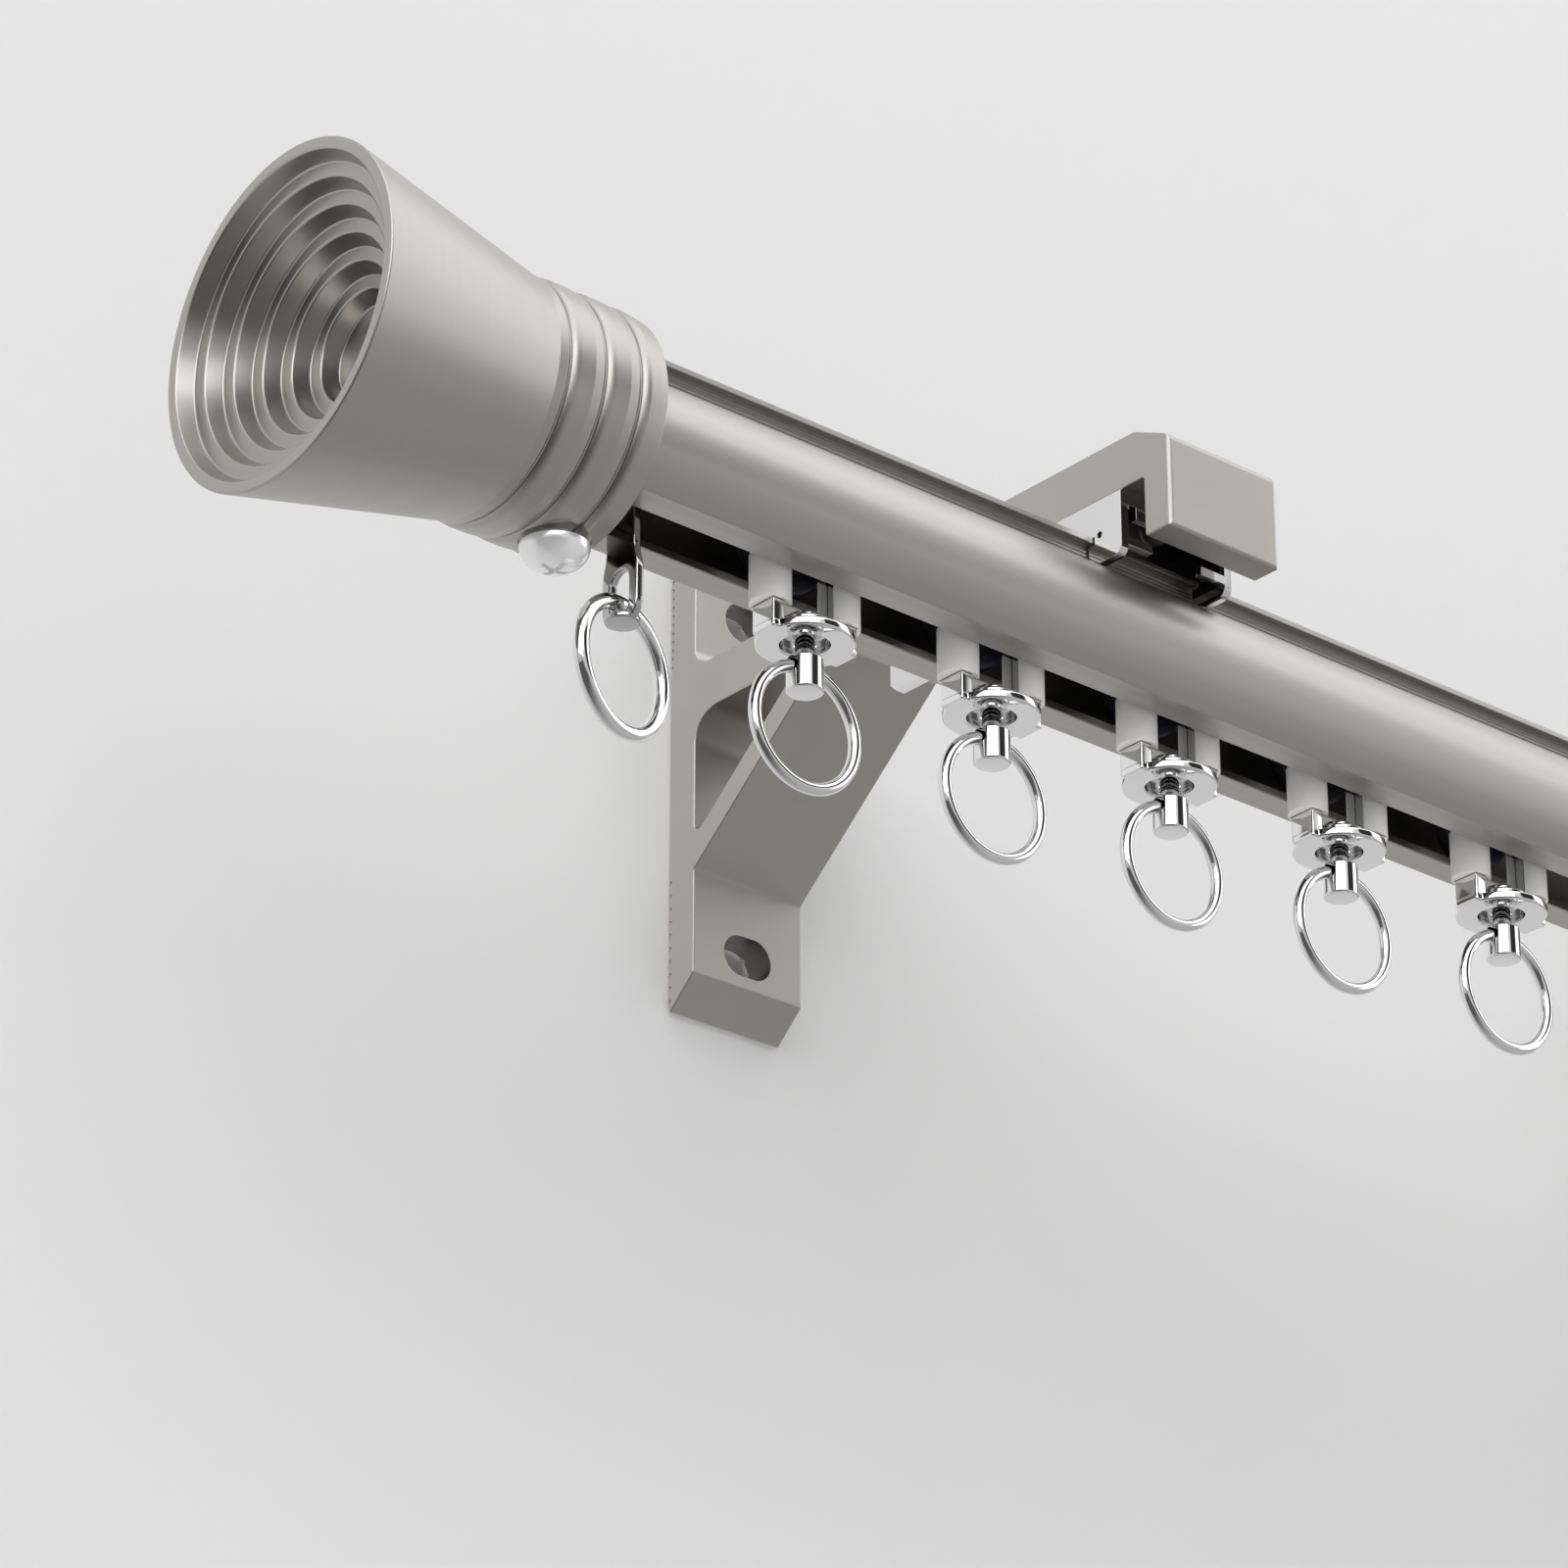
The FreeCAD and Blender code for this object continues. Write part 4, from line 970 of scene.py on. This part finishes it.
class TRACK_OT_finial_screws(bpy.types.Operator):
    """Add the domed screws under the necks, each with a cross recess"""

    bl_idname = "curtain_track.finial_screws"
    bl_label = "Finial Screws"

    def execute(self, context):
        rail, finial = sizes(context, "track_rail", "track_finial")
        seat = finial.neck_radius - finial.screw_seat
        rim = seat + finial.screw_rim
        dome = quarter(rim, finial.screw_dome, finial.screw_radius, 18)
        tip, thin, collar = rail.bottom - rail.lip, finial.screw_shank, finial.screw_collar
        under = rim - finial.screw_eave
        shank = [(tip, 0), (tip, thin), (seat, thin), (seat, collar), (under, collar),
                 (under, finial.screw_radius - finial.screw_eave)]
        x = finial.cone + finial.neck - finial.screw_inset
        screw = lathe(np.concatenate([shank, dome]), (x, 0, 0), (0, 0, -1), 72)
        low = -rim - finial.screw_dome
        half, wide = finial.drive_length / 2, finial.drive_width / 2
        cross = [(half, wide), (wide, wide), (wide, half), (-wide, half), (-wide, wide), (-half, wide),
                 (-half, -wide), (-wide, -wide), (-wide, -half), (wide, -half), (wide, -wide), (half, -wide)]
        cross = rounded(cross[::-1], 0.2, 3)
        recess = moved(plate([cross], low - 1, low + finial.drive_depth, ALONG_Z, 0.0), x)
        work = bmesh.new()
        for _, end, mirror in track_sides(rail):
            mesh = mesh_of("screw", moved(screw, end, mirror), rail)
            work.from_mesh(cut(mesh, moved(recess, end, mirror), rail))
        both = bpy.data.meshes.new("finial_screw_heads")
        work.to_mesh(both)
        work.free()
        add_piece("finial_screw_heads", both, "track", "finial_screws", "bright_zinc", 40)
        return {"FINISHED"}


def bracket_outlines(rail, bracket):
    """Side outline of the bracket as (y, z) and the outline of the window between arm, plate and strut."""
    wall = rail.wall_to_axis
    face = wall - bracket.plate
    low = -rail.axis_height - bracket.plate_height / 2
    high = low + bracket.plate_height
    nose = wall - bracket.reach
    top = bracket.underside + bracket.arm
    slope = math.tan(bracket.strut_angle)
    rise = bracket.strut / math.cos(bracket.strut_angle)
    foot = face - (bracket.underside + bracket.strut_foot) / slope
    inner = face - (bracket.underside + bracket.strut_foot - rise) / slope
    corners = [
        (wall, high), (face, high - bracket.plate_bevel), (face, top), (nose + bracket.nose_run, top),
        (nose, top - bracket.nose_drop), (nose, bracket.nose_bottom),
        (nose + bracket.nose, bracket.nose_bottom), (nose + bracket.nose, bracket.underside),
        (foot, bracket.underside), (face, -bracket.strut_foot), (face, low + bracket.plate_bevel),
        (wall, low),
    ]
    radii = [0.3, 0.5, 3.5, 0.8, 1.6, 0.6, 0.6, 0.6, 0.6, 1.2, 0.5, 0.3]
    window = [(inner, bracket.underside), (face, bracket.underside), (face, rise - bracket.strut_foot)]
    return rounded(corners, radii, 6), rounded(window, [0.8, 6.0, 1.2], 12)


def back_grooves(rail, bracket):
    """Round bars along X that cut the fine grooves into the bracket's back."""
    lower = bracket.lower_first + bracket.lower_pitch * np.arange(bracket.lower_grooves)
    upper = bracket.upper_first + bracket.upper_pitch * np.arange(bracket.upper_grooves)
    reach = bracket.width / 2 + 1
    section = rod(bracket.groove_radius, -reach, reach)
    y = rail.wall_to_axis - bracket.groove_inset
    heights = np.concatenate([-lower, upper]) - rail.axis_height
    return joined([lathe(section, (0, y, z), (1, 0, 0), 20) for z in heights])


class TRACK_OT_brackets(bpy.types.Operator):
    """Add the two wall brackets: a side outline carried across, with slots through the plate.

    The nose's upright edges are rounded: with d a point's distance from the nearer side and b the rounding,
    no point lies nearer to the front than b - sqrt(b ** 2 - (b - d) ** 2). The belts are the rows that bend.
    """

    bl_idname = "curtain_track.brackets"
    bl_label = "Brackets"

    def execute(self, context):
        rail, bracket = sizes(context, "track_rail", "track_bracket")
        half = bracket.width / 2
        outline, window = bracket_outlines(rail, bracket)
        bend = bracket.nose_edge
        belts = bend * (1 - np.cos(np.linspace(0.9, math.pi / 2, 6)))
        points, faces = plate([outline, window], -half, half, ALONG_X, bracket.edge, 4, belts)
        wall = rail.wall_to_axis
        short = np.clip(bend - (half - np.abs(points[:, 0])), 0, bend)
        points[:, 1] = np.maximum(points[:, 1], wall - bracket.reach + bend - np.sqrt(bend ** 2 - short ** 2))
        form = points, faces
        end = bracket.slot_height / 2
        run = bracket.slot_length / 2 - end
        right = arc((run, 0), end, -math.pi / 2, math.pi / 2, 24)
        slot = np.concatenate([right, -right])
        for side, x in (("left", 0.0), ("right", rail.bracket_spacing)):
            mesh = cut(mesh_of("bracket", moved(form, x), rail), moved(back_grooves(rail, bracket), x), rail)
            for sign in (-1, 1):
                shifted = slot + (x, sign * bracket.slot_spacing / 2 - rail.axis_height)
                tool = plate([shifted], wall - 2 * bracket.plate, wall + 2, ALONG_Y, 0.0)
                mesh = cut(mesh, tool, rail)
            add_piece("extruded_bracket_" + side, mesh, "track", "bracket_" + side,
                      "satin_nickel_blasted", 40)
        return {"FINISHED"}


class TRACK_OT_clips(bpy.types.Operator):
    """Add the bent clips, their screws and the lock levers"""

    bl_idname = "curtain_track.clips"
    bl_label = "Clips and Levers"

    def execute(self, context):
        rail, bracket, clip = sizes(context, "track_rail", "track_bracket", "track_clip")
        for side in ("left", "right"):
            lever = "lock_lever_" + side
            add_eased_copy("bent_clip_" + side, "clip_" + side, clip.edge, "track", "clip_chrome")
            add_eased_copy("cut_lever_" + side, lever, clip.lever_edge, lever, "clip_chrome")
        seat, tip = bracket.underside - clip.screw_seat, bracket.underside + clip.screw_grip
        head = quarter(seat, -clip.screw_dome, clip.screw_head, 14)[::-1]
        shank = rod(clip.screw_shank, seat, tip)[1:]
        screw = lathe(np.concatenate([head, shank]), (clip.middle, -clip.screw_front, 0), (0, 0, 1), 48)
        form = joined([screw, moved(screw, rail.bracket_spacing)])
        add_form("clip_screw_heads", form, rail, "track", "clip_screws", "dark_steel", "dark_steel")
        return {"FINISHED"}


class TRACK_OT_end_stops(bpy.types.Operator):
    """Add the end stops, each a sheet with an eye on a shoe, and the rings that hang in them"""

    bl_idname = "curtain_track.end_stops"
    bl_label = "End Stops and End Rings"

    def execute(self, context):
        rail, stop = sizes(context, "track_rail", "track_stop")
        half = stop.sheet / 2
        floor = rail.lip - rail.bottom + SEAT_GAP
        wide, around = stop.eye_width / 2, stop.eye_radius
        upper = -stop.eye_top - wide
        lower = -stop.eye_bottom + wide
        low = -stop.eye_bottom - stop.foot
        base = math.asin((low + stop.foot / 4 - lower) / around)
        share = np.linspace(0, 1, 13)
        widen = stop.neck / 2 + (around - stop.neck / 2) * (1 - np.cos(share * math.pi)) / 2
        soft = np.stack([widen, -stop.shoulder_top - stop.shoulder * share], axis=1)
        right = np.concatenate([[(stop.neck / 2, floor + 1.0)], soft, arc((0, lower), around, 0, base, 14)])
        outline = rounded(np.concatenate([right, right[::-1] * (-1, 1)]), 0.0)
        opening = arc((0, upper), wide, 0, math.pi, 24), arc((0, lower), wide, math.pi, math.tau, 24)
        hole = np.concatenate(opening)
        sheet = plate([outline, hole], -half, half, ALONG_X, 0.35)
        across = (-stop.shoe_width / 2, stop.shoe_width / 2)
        shoe = bar((-stop.shoe_length, half), across, (floor, floor + stop.shoe), 0.3)
        disc = rounded(rod(stop.foot_radius, low, -stop.eye_bottom), [0, 0.3, 0.3, 0], 4)
        foot = lathe(disc, (0, 0, 0), (0, 0, 1), 48)
        form = joined([sheet, shoe, foot])
        sag = stop.ring_radius - math.sqrt(stop.ring_radius ** 2 - stop.foot_radius ** 2)
        slack = 1.05
        drop = stop.eye_bottom - FREE_GAP - slack * stop.wire - sag
        for side, end, mirror in track_sides(rail):
            x = end + (-stop.to_rim if mirror else stop.to_rim)
            add_form("sheet_stop_" + side, moved(form, x, mirror), rail, "track", "end_stop_" + side,
                     "chrome", "plated_sheet")
            ring = wire_ring(stop.ring_radius, stop.wire, (x, 0, -drop - stop.ring_radius), stop.ring_turn)
            body = "end_ring_" + side
            add_form("wire_end_ring_" + side, ring, rail, body, body, "chrome", "polished_chrome")
        return {"FINISHED"}


def carriers(rail, carrier):
    """Name of each carrier and its place along the rail."""
    start = track_ends(rail)[0] + carrier.first
    return [("carrier_%d" % (n + 1), start + n * carrier.pitch) for n in range(carrier.count)]


def axle_level(rail, carrier):
    """Height of the axles over the rail's axis."""
    return rail.lip - rail.bottom + carrier.wheel_lift + carrier.wheel_radius


class TRACK_OT_carrier_frames(bpy.types.Operator):
    """Add the carriers' frames: a pierced disc with a cup, and a bent bar with the axle's boss"""

    bl_idname = "curtain_track.carrier_frames"
    bl_label = "Carrier Frames"

    def execute(self, context):
        rail, c = sizes(context, "track_rail", "track_carrier")
        z = axle_level(rail, c)
        floor = -c.disc_bottom
        top = floor + c.disc
        roof = top + c.cup_height
        cup = c.well_radius + c.cup
        throat = c.neck_radius + FREE_GAP
        outer, inner = c.leg_centre + c.leg / 2, c.leg_centre - c.leg / 2
        lug = c.leg_width / 2
        bend = math.asin(lug / c.disc_radius)
        around = 40
        edge = arc((0, 0), c.disc_radius, bend, math.pi - bend, around)
        half = np.concatenate([[(outer, -lug), (outer, lug)], edge])
        rim = rounded(np.concatenate([half, -half]), 2 * ([0.5, 0.5] + ends(0.3, around, 0.3)), 5)
        hole = arc((0, 0), c.well_radius, 0, math.tau * 47 / 48, 48)
        disc = plate([rim, hole], floor, top, ALONG_Z, 0.35, 4)
        sunk = top - 0.3
        corners = [(sunk, c.well_radius), (sunk, cup), (roof, cup), (roof, throat), (roof - c.cup, throat),
                   (roof - c.cup, c.well_radius)]
        shell = lathe(rounded(corners, [0.05, 0.05, 0.5, 0.15, 0.15, 0.4], 5), (0, 0, 0), (0, 0, 1), 72, True)
        wide, narrow, start = outer - HAIR, inner - HAIR / 2, floor + 0.5
        high, under = z + c.leg / 2, z - c.leg / 2
        arch = [(-wide, start), (-wide, high), (wide, high), (wide, start), (narrow, start), (narrow, under),
                (-narrow, under), (-narrow, start)]
        arch = rounded(arch, [0.1, 1.6, 1.6, 0.1, 0.1, 0.8, 0.8, 0.1], 6)
        bent = plate([arch], HAIR - lug, lug - HAIR, ALONG_Y, 0.3)
        reach, bore = c.wheel_face - FREE_GAP, c.axle_radius + SEAT_GAP / 2
        tube = [(-reach, bore), (-reach, c.boss_radius), (reach, c.boss_radius), (reach, bore)]
        boss = lathe(rounded(tube, [0.1, 0.25, 0.25, 0.1], 4), (0, 0, z), (0, 1, 0), 48, True)
        form = joined([disc, shell, bent, boss])
        for name, x in carriers(rail, c):
            add_form(name + "_disc_and_legs", moved(form, x), rail, name, name + "_frame", "chrome",
                     "polished_chrome")
        return {"FINISHED"}


class TRACK_OT_carrier_sleeves(bpy.types.Operator):
    """Add the plastic sleeves: a slit tube round each leg"""

    bl_idname = "curtain_track.carrier_sleeves"
    bl_label = "Carrier Sleeves"

    def execute(self, context):
        rail, c = sizes(context, "track_rail", "track_carrier")
        near, far = c.leg_centre - c.leg / 2 - SEAT_GAP, c.leg_centre + c.leg / 2 + SEAT_GAP
        wide, mouth = c.leg_width / 2 + SEAT_GAP, c.mouth / 2
        slit = math.asin(mouth / c.sleeve_radius)
        around, edge = 72, 0.1
        tube = arc((c.sleeve_centre, 0), c.sleeve_radius, slit - math.pi, math.pi - slit, around)
        well = [(near, mouth), (near, wide), (far, wide), (far, -wide), (near, -wide), (near, -mouth)]
        outline = rounded(np.concatenate([tube, well]), ends(edge, around, edge) + [edge] * len(well), 3)
        right = plate([outline], -c.sleeve_bottom, c.sleeve - c.sleeve_bottom, ALONG_Z, 0.12)
        form = joined([right, moved(right, 0.0, True)])
        for name, x in carriers(rail, c):
            add_form(name + "_slit_sleeves", moved(form, x), rail, name, name + "_sleeves", "white_nylon",
                     "white_nylon", 40)
        return {"FINISHED"}


class TRACK_OT_wheels(bpy.types.Operator):
    """Add tyres, bearings and axles: half sections spun round each axle"""

    bl_idname = "curtain_track.wheels"
    bl_label = "Wheels and Axles"

    def execute(self, context):
        rail, c = sizes(context, "track_rail", "track_carrier")
        z = axle_level(rail, c)
        w = c.wheel_width
        web = c.bearing_radius + c.web
        tyre = [(c.dish, c.bearing_radius), (c.dish, web), (0, web + c.dish), (0, c.wheel_radius),
                (w, c.wheel_radius), (w, web + c.dish), (w - c.dish, web), (w - c.dish, c.bearing_radius)]
        tyre = rounded(tyre, [0.1, 0.2, 0.3, 1.9, 1.9, 0.3, 0.2, 0.1], 10)
        near = (w - c.bearing_width) / 2
        far = near + c.bearing_width
        bore = c.axle_radius + RUNNING_GAP
        outer, inner = c.bearing_radius - c.race, bore + c.race
        bearing = [(near, bore), (near, c.bearing_radius), (far, c.bearing_radius), (far, outer),
                   (far - c.shield, outer), (far - c.shield, inner), (far, inner), (far, bore)]
        bearing = rounded(bearing, [0.1, 0.15, 0.15, 0.1, 0.05, 0.05, 0.1, 0.1], 3)
        end = c.wheel_face + w + SEAT_GAP
        tip, head = end + c.rivet, c.rivet_radius
        half = [(end, c.axle_radius), (end, head), (tip, head), (tip, 0)]
        pin = rounded([(-s, r) for s, r in half[::-1]] + half, [0, 0.5, 0.1, 0, 0, 0.1, 0.5, 0], 5)
        steel = ("bearing_steel", "ground_bearing_steel")
        for name, x in carriers(rail, c):
            axle = lathe(pin, (x, 0, z), (0, 1, 0), 40)
            add_form(name + "_riveted_axle", axle, rail, name, name + "_axle", *steel)
            for side, sign in (("front", -1), ("rear", 1)):
                body = "%s_wheel_%s" % (name, side)
                start = (x, sign * c.wheel_face, z)
                rim = lathe(tyre, start, (0, sign, 0), 72, True)
                add_form(name + "_moulded_tyre_" + side, rim, rail, body, "%s_tyre_%s" % (name, side),
                         "blue_tyre", "blue_moulded_tyre")
                hub = lathe(bearing, start, (0, sign, 0), 48, True)
                add_form(name + "_ground_bearing_" + side, hub, rail, body,
                         "%s_bearing_%s" % (name, side), *steel)
        return {"FINISHED"}


class TRACK_OT_swivels(bpy.types.Operator):
    """Add the swivels: a turned barrel on a thin neck, cross-drilled for the ring"""

    bl_idname = "curtain_track.swivels"
    bl_label = "Swivels"

    def execute(self, context):
        rail, c = sizes(context, "track_rail", "track_carrier")
        head = c.disc - c.disc_bottom + c.cup_height + FREE_GAP
        top = -c.barrel_top
        low = top - c.barrel
        outline = [(head + c.head, 0), (head + c.head, c.head_radius), (head, c.head_radius),
                   (head, c.neck_radius), (top, c.neck_radius), (top, c.barrel_radius),
                   (low, c.barrel_radius), (low, 0)]
        outline = rounded(outline, [0, 0.3, 0.3, 0.1, 0.25, 0.4, 0.4, 0], 5)
        form = lathe(outline, (0, 0, 0), (0, 0, 1), 64)
        section = rod(c.drill_radius, -2 * c.barrel_radius, 2 * c.barrel_radius)
        drill = lathe(section, (0, 0, top - c.drill_drop), (1, 0, 0), 40)
        mesh = cut(mesh_of("barrel", form, rail), drill, rail)
        for name, x in carriers(rail, c):
            copy = mesh.copy()
            copy.transform(Matrix.Translation((x / 1000, 0, 0)))
            body = name + "_swivel"
            add_piece(name + "_drilled_barrel", copy, body, body, "polished_chrome")
        return {"FINISHED"}


class TRACK_OT_rings(bpy.types.Operator):
    """Add the carriers' wire rings"""

    bl_idname = "curtain_track.rings"
    bl_label = "Carrier Rings"

    def execute(self, context):
        rail, c = sizes(context, "track_rail", "track_carrier")
        middle = c.ring_lift - c.barrel_top - c.drill_drop - c.ring_radius
        for name, x in carriers(rail, c):
            ring = wire_ring(c.ring_radius, c.wire, (x, 0, middle))
            body = name + "_ring"
            add_form(name + "_wire_ring", ring, rail, body, body, "chrome", "polished_chrome")
        return {"FINISHED"}


LAMPS = (
    # name, place, target, width and height, power
    ("overhead_softbox", (0.3, -0.6, 1.3), (0.1, -0.1, 0.0), (2.4, 1.8), 9.2),
    ("left_softbox", (-1.6, -1.5, 0.9), (0.0, -0.1, 0.0), (2.2, 1.6), 17),
    ("right_softbox", (2.3, -1.3, 0.7), (0.1, -0.1, 0.0), (1.3, 1.6), 6.5),
    ("strip_softbox", (-0.55, -2.1, 0.95), (-0.1, -0.1, 0.0), (0.4, 0.9), 2.2),
)
SKY_LEVELS = ((0.0, 0.40), (0.30, 0.44), (0.46, 0.52), (0.62, 0.62), (0.80, 0.90), (1.0, 1.0))
DARK_PATCHES = (
    # direction, cosines at the patch's edge and core, level there
    ((0.360, -0.826, 0.434), 0.940, 0.965, 0.04),
    ((-0.585, -0.686, -0.433), 0.86, 0.96, 0.1),
)
CAMERA_PLACE = Vector((-0.61337, -0.73499, -0.45652))
CAMERA_RIGHT = Vector((0.7606, -0.6492, 0.0))
CAMERA_UP = Vector((-0.2812, -0.3295, 0.9013))
LENS, SENSOR = 137.355, 36.0


def mixed(tree, share, first, second):
    """The first shader where the share is zero and the second where it is one."""
    return add_node(tree, "MixShader", {0: share, 1: first, 2: second}).outputs[0]


def stage_material(name, colour, seen_in_metal, fades):
    """Matt paint for floor and backdrop. Metal sees a painted reflection in its place, a glow whose level
    changes over a span of each faded axis, and from behind it is clear."""
    material = bpy.data.materials.new(name)
    material.use_nodes = True
    tree = material.node_tree
    paint = tree.nodes["Principled BSDF"]
    paint.inputs["Base Color"].default_value = list(colour) + [1.0]
    paint.inputs["Roughness"].default_value = 0.9
    paint.inputs["Specular IOR Level"].default_value = 0.1
    surface = add_node(tree, "NewGeometry").outputs
    parts = parted(tree, surface["Position"])
    level = 1.0
    for axis, start, end, low, high in fades:
        level = maths(tree, "MULTIPLY", level, mapped(tree, parts[axis], start, end, low, high, "SMOOTHSTEP"))
    seen = [c * seen_in_metal for c in colour] + [1.0]
    # painted reflection: a glow of the paint's colour that only metal sees
    glow = add_node(tree, "Emission", {"Color": seen, "Strength": level})
    glossy = add_node(tree, "LightPath").outputs["Is Glossy Ray"]
    shown = mixed(tree, glossy, paint.outputs[0], glow.outputs[0])
    clear = add_node(tree, "BsdfTransparent").outputs[0]
    result = mixed(tree, surface["Backfacing"], shown, clear)
    tree.links.new(result, tree.nodes["Material Output"].inputs["Surface"])
    return material


def add_sheet(name, corners, material):
    """One flat stage sheet."""
    mesh = bpy.data.meshes.new(name)
    mesh.from_pydata(corners, [], [(0, 1, 2, 3)])
    mesh.materials.append(material)
    sheet = bpy.data.objects.new(name, mesh)
    bpy.context.scene.collection.objects.link(sheet)


def add_lamp(name, place, target, size, power):
    """Soft square lamp at a place, turned to a target."""
    lamp = bpy.data.lights.new(name, "AREA")
    lamp.shape = "RECTANGLE"
    lamp.size, lamp.size_y = size
    lamp.energy = power
    holder = bpy.data.objects.new(name, lamp)
    bpy.context.scene.collection.objects.link(holder)
    holder.location = place
    holder.rotation_euler = (Vector(target) - Vector(place)).to_track_quat("-Z", "Y").to_euler()


def add_sky(colour):
    """World light: pale to the camera, and for the object a soft room that is bright above and dim below."""
    world = bpy.data.worlds.new("studio")
    bpy.context.scene.world = world
    world.use_nodes = True
    tree = world.node_tree
    tree.nodes.clear()
    direction = add_node(tree, "TexCoord").outputs["Generated"]
    height = mapped(tree, parted(tree, direction)[2], -1.0, 1.0, 0.0, 1.0)
    ramp = add_node(tree, "ValToRGB", {0: height})
    points = ramp.color_ramp.elements
    for stop in SKY_LEVELS[1:-1]:
        points.new(stop[0])
    for point, stop in zip(points, SKY_LEVELS):
        point.color = [stop[1]] * 3 + [1]
    strength = 1.0
    for patch, edge, core, low in DARK_PATCHES:
        facing = vector_maths(tree, "DOT_PRODUCT", direction, patch)
        shade = mapped(tree, facing, edge, core, 1.0, low, "SMOOTHSTEP")
        strength = maths(tree, "MULTIPLY", strength, shade)
    room = add_node(tree, "Background", {"Color": ramp.outputs[0], "Strength": strength}).outputs[0]
    pale = add_node(tree, "Background", {"Color": list(colour) + [1.0], "Strength": 1.0}).outputs[0]
    seen = add_node(tree, "LightPath").outputs["Is Camera Ray"]
    add_node(tree, "OutputWorld", {"Surface": mixed(tree, seen, room, pale)})


def add_camera(scene):
    """The camera at the photograph's angle: its right and up directions, made square, turn it."""
    camera = bpy.data.cameras.new("camera")
    camera.lens, camera.sensor_width = LENS, SENSOR
    camera.clip_start, camera.clip_end = 0.02, 60
    right = CAMERA_RIGHT.normalized()
    up = (CAMERA_UP - right * CAMERA_UP.dot(right)).normalized()
    turn = Matrix((right, up, right.cross(up))).transposed()
    holder = bpy.data.objects.new("camera", camera)
    scene.collection.objects.link(holder)
    holder.matrix_world = Matrix.Translation(CAMERA_PLACE) @ turn.to_4x4()
    scene.camera = holder


class TRACK_OT_stage(bpy.types.Operator):
    """Add floor, backdrop, lamps, world and camera"""

    bl_idname = "curtain_track.stage"
    bl_label = "Stage"

    def execute(self, context):
        colour = context.scene.track_finish.backdrop
        # painted reflections: metal sees the backdrop as a glow that darkens towards the bottom and the left,
        # and the floor as a dimmer glow
        wall = stage_material("backdrop_paint", colour, 0.9, [("Z", -0.35, 0.10, 0.55, 1.15),
                                                              ("X", -1.2, -0.5, 0.15, 1.0)])
        floor = stage_material("floor_paint", colour, 0.5, [("X", -1.2, 0.8, 0.25, 1.15)])
        far, low, high, gap = 8, -1.1, 9, 0.0004
        add_sheet("backdrop", [(-far, gap, low), (far, gap, low), (far, gap, high), (-far, gap, high)], wall)
        add_sheet("floor", [(-far, -far, low), (far, -far, low), (far, far, low), (-far, far, low)], floor)
        for lamp in LAMPS:
            add_lamp(*lamp)
        add_sky(colour)
        add_camera(context.scene)
        context.scene.view_settings.view_transform = "Standard"
        return {"FINISHED"}


class TRACK_PT_panel(bpy.types.Panel):
    """Settings and building steps of the curtain track"""

    bl_idname = "TRACK_PT_panel"
    bl_label = "Curtain Track"
    bl_space_type = "VIEW_3D"
    bl_region_type = "UI"
    bl_category = "Curtain Track"

    def draw(self, context):
        for operator in OPERATORS:
            self.layout.operator(operator.bl_idname)
        for name, group in GROUPS.items():
            box = self.layout.box()
            box.label(text=group.__doc__)
            settings = getattr(context.scene, name)
            for key in group.__annotations__:
                box.prop(settings, key)


OPERATORS = (
    TRACK_OT_finishes, TRACK_OT_stage, TRACK_OT_rail, TRACK_OT_finials, TRACK_OT_finial_screws,
    TRACK_OT_brackets, TRACK_OT_clips, TRACK_OT_end_stops, TRACK_OT_carrier_frames,
    TRACK_OT_carrier_sleeves, TRACK_OT_wheels, TRACK_OT_swivels, TRACK_OT_rings,
)
CLASSES = tuple(GROUPS.values()) + OPERATORS + (TRACK_PT_panel,)


def register():
    for each in CLASSES:
        bpy.utils.register_class(each)
    for name, group in GROUPS.items():
        setattr(bpy.types.Scene, name, PointerProperty(type=group))


def unregister():
    for name in GROUPS:
        delattr(bpy.types.Scene, name)
    for each in reversed(CLASSES):
        bpy.utils.unregister_class(each)


def main():
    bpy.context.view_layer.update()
    register()
    for operator in OPERATORS:
        family, step = operator.bl_idname.split(".")
        getattr(getattr(bpy.ops, family), step)()


if __name__ == "__main__":
    main()
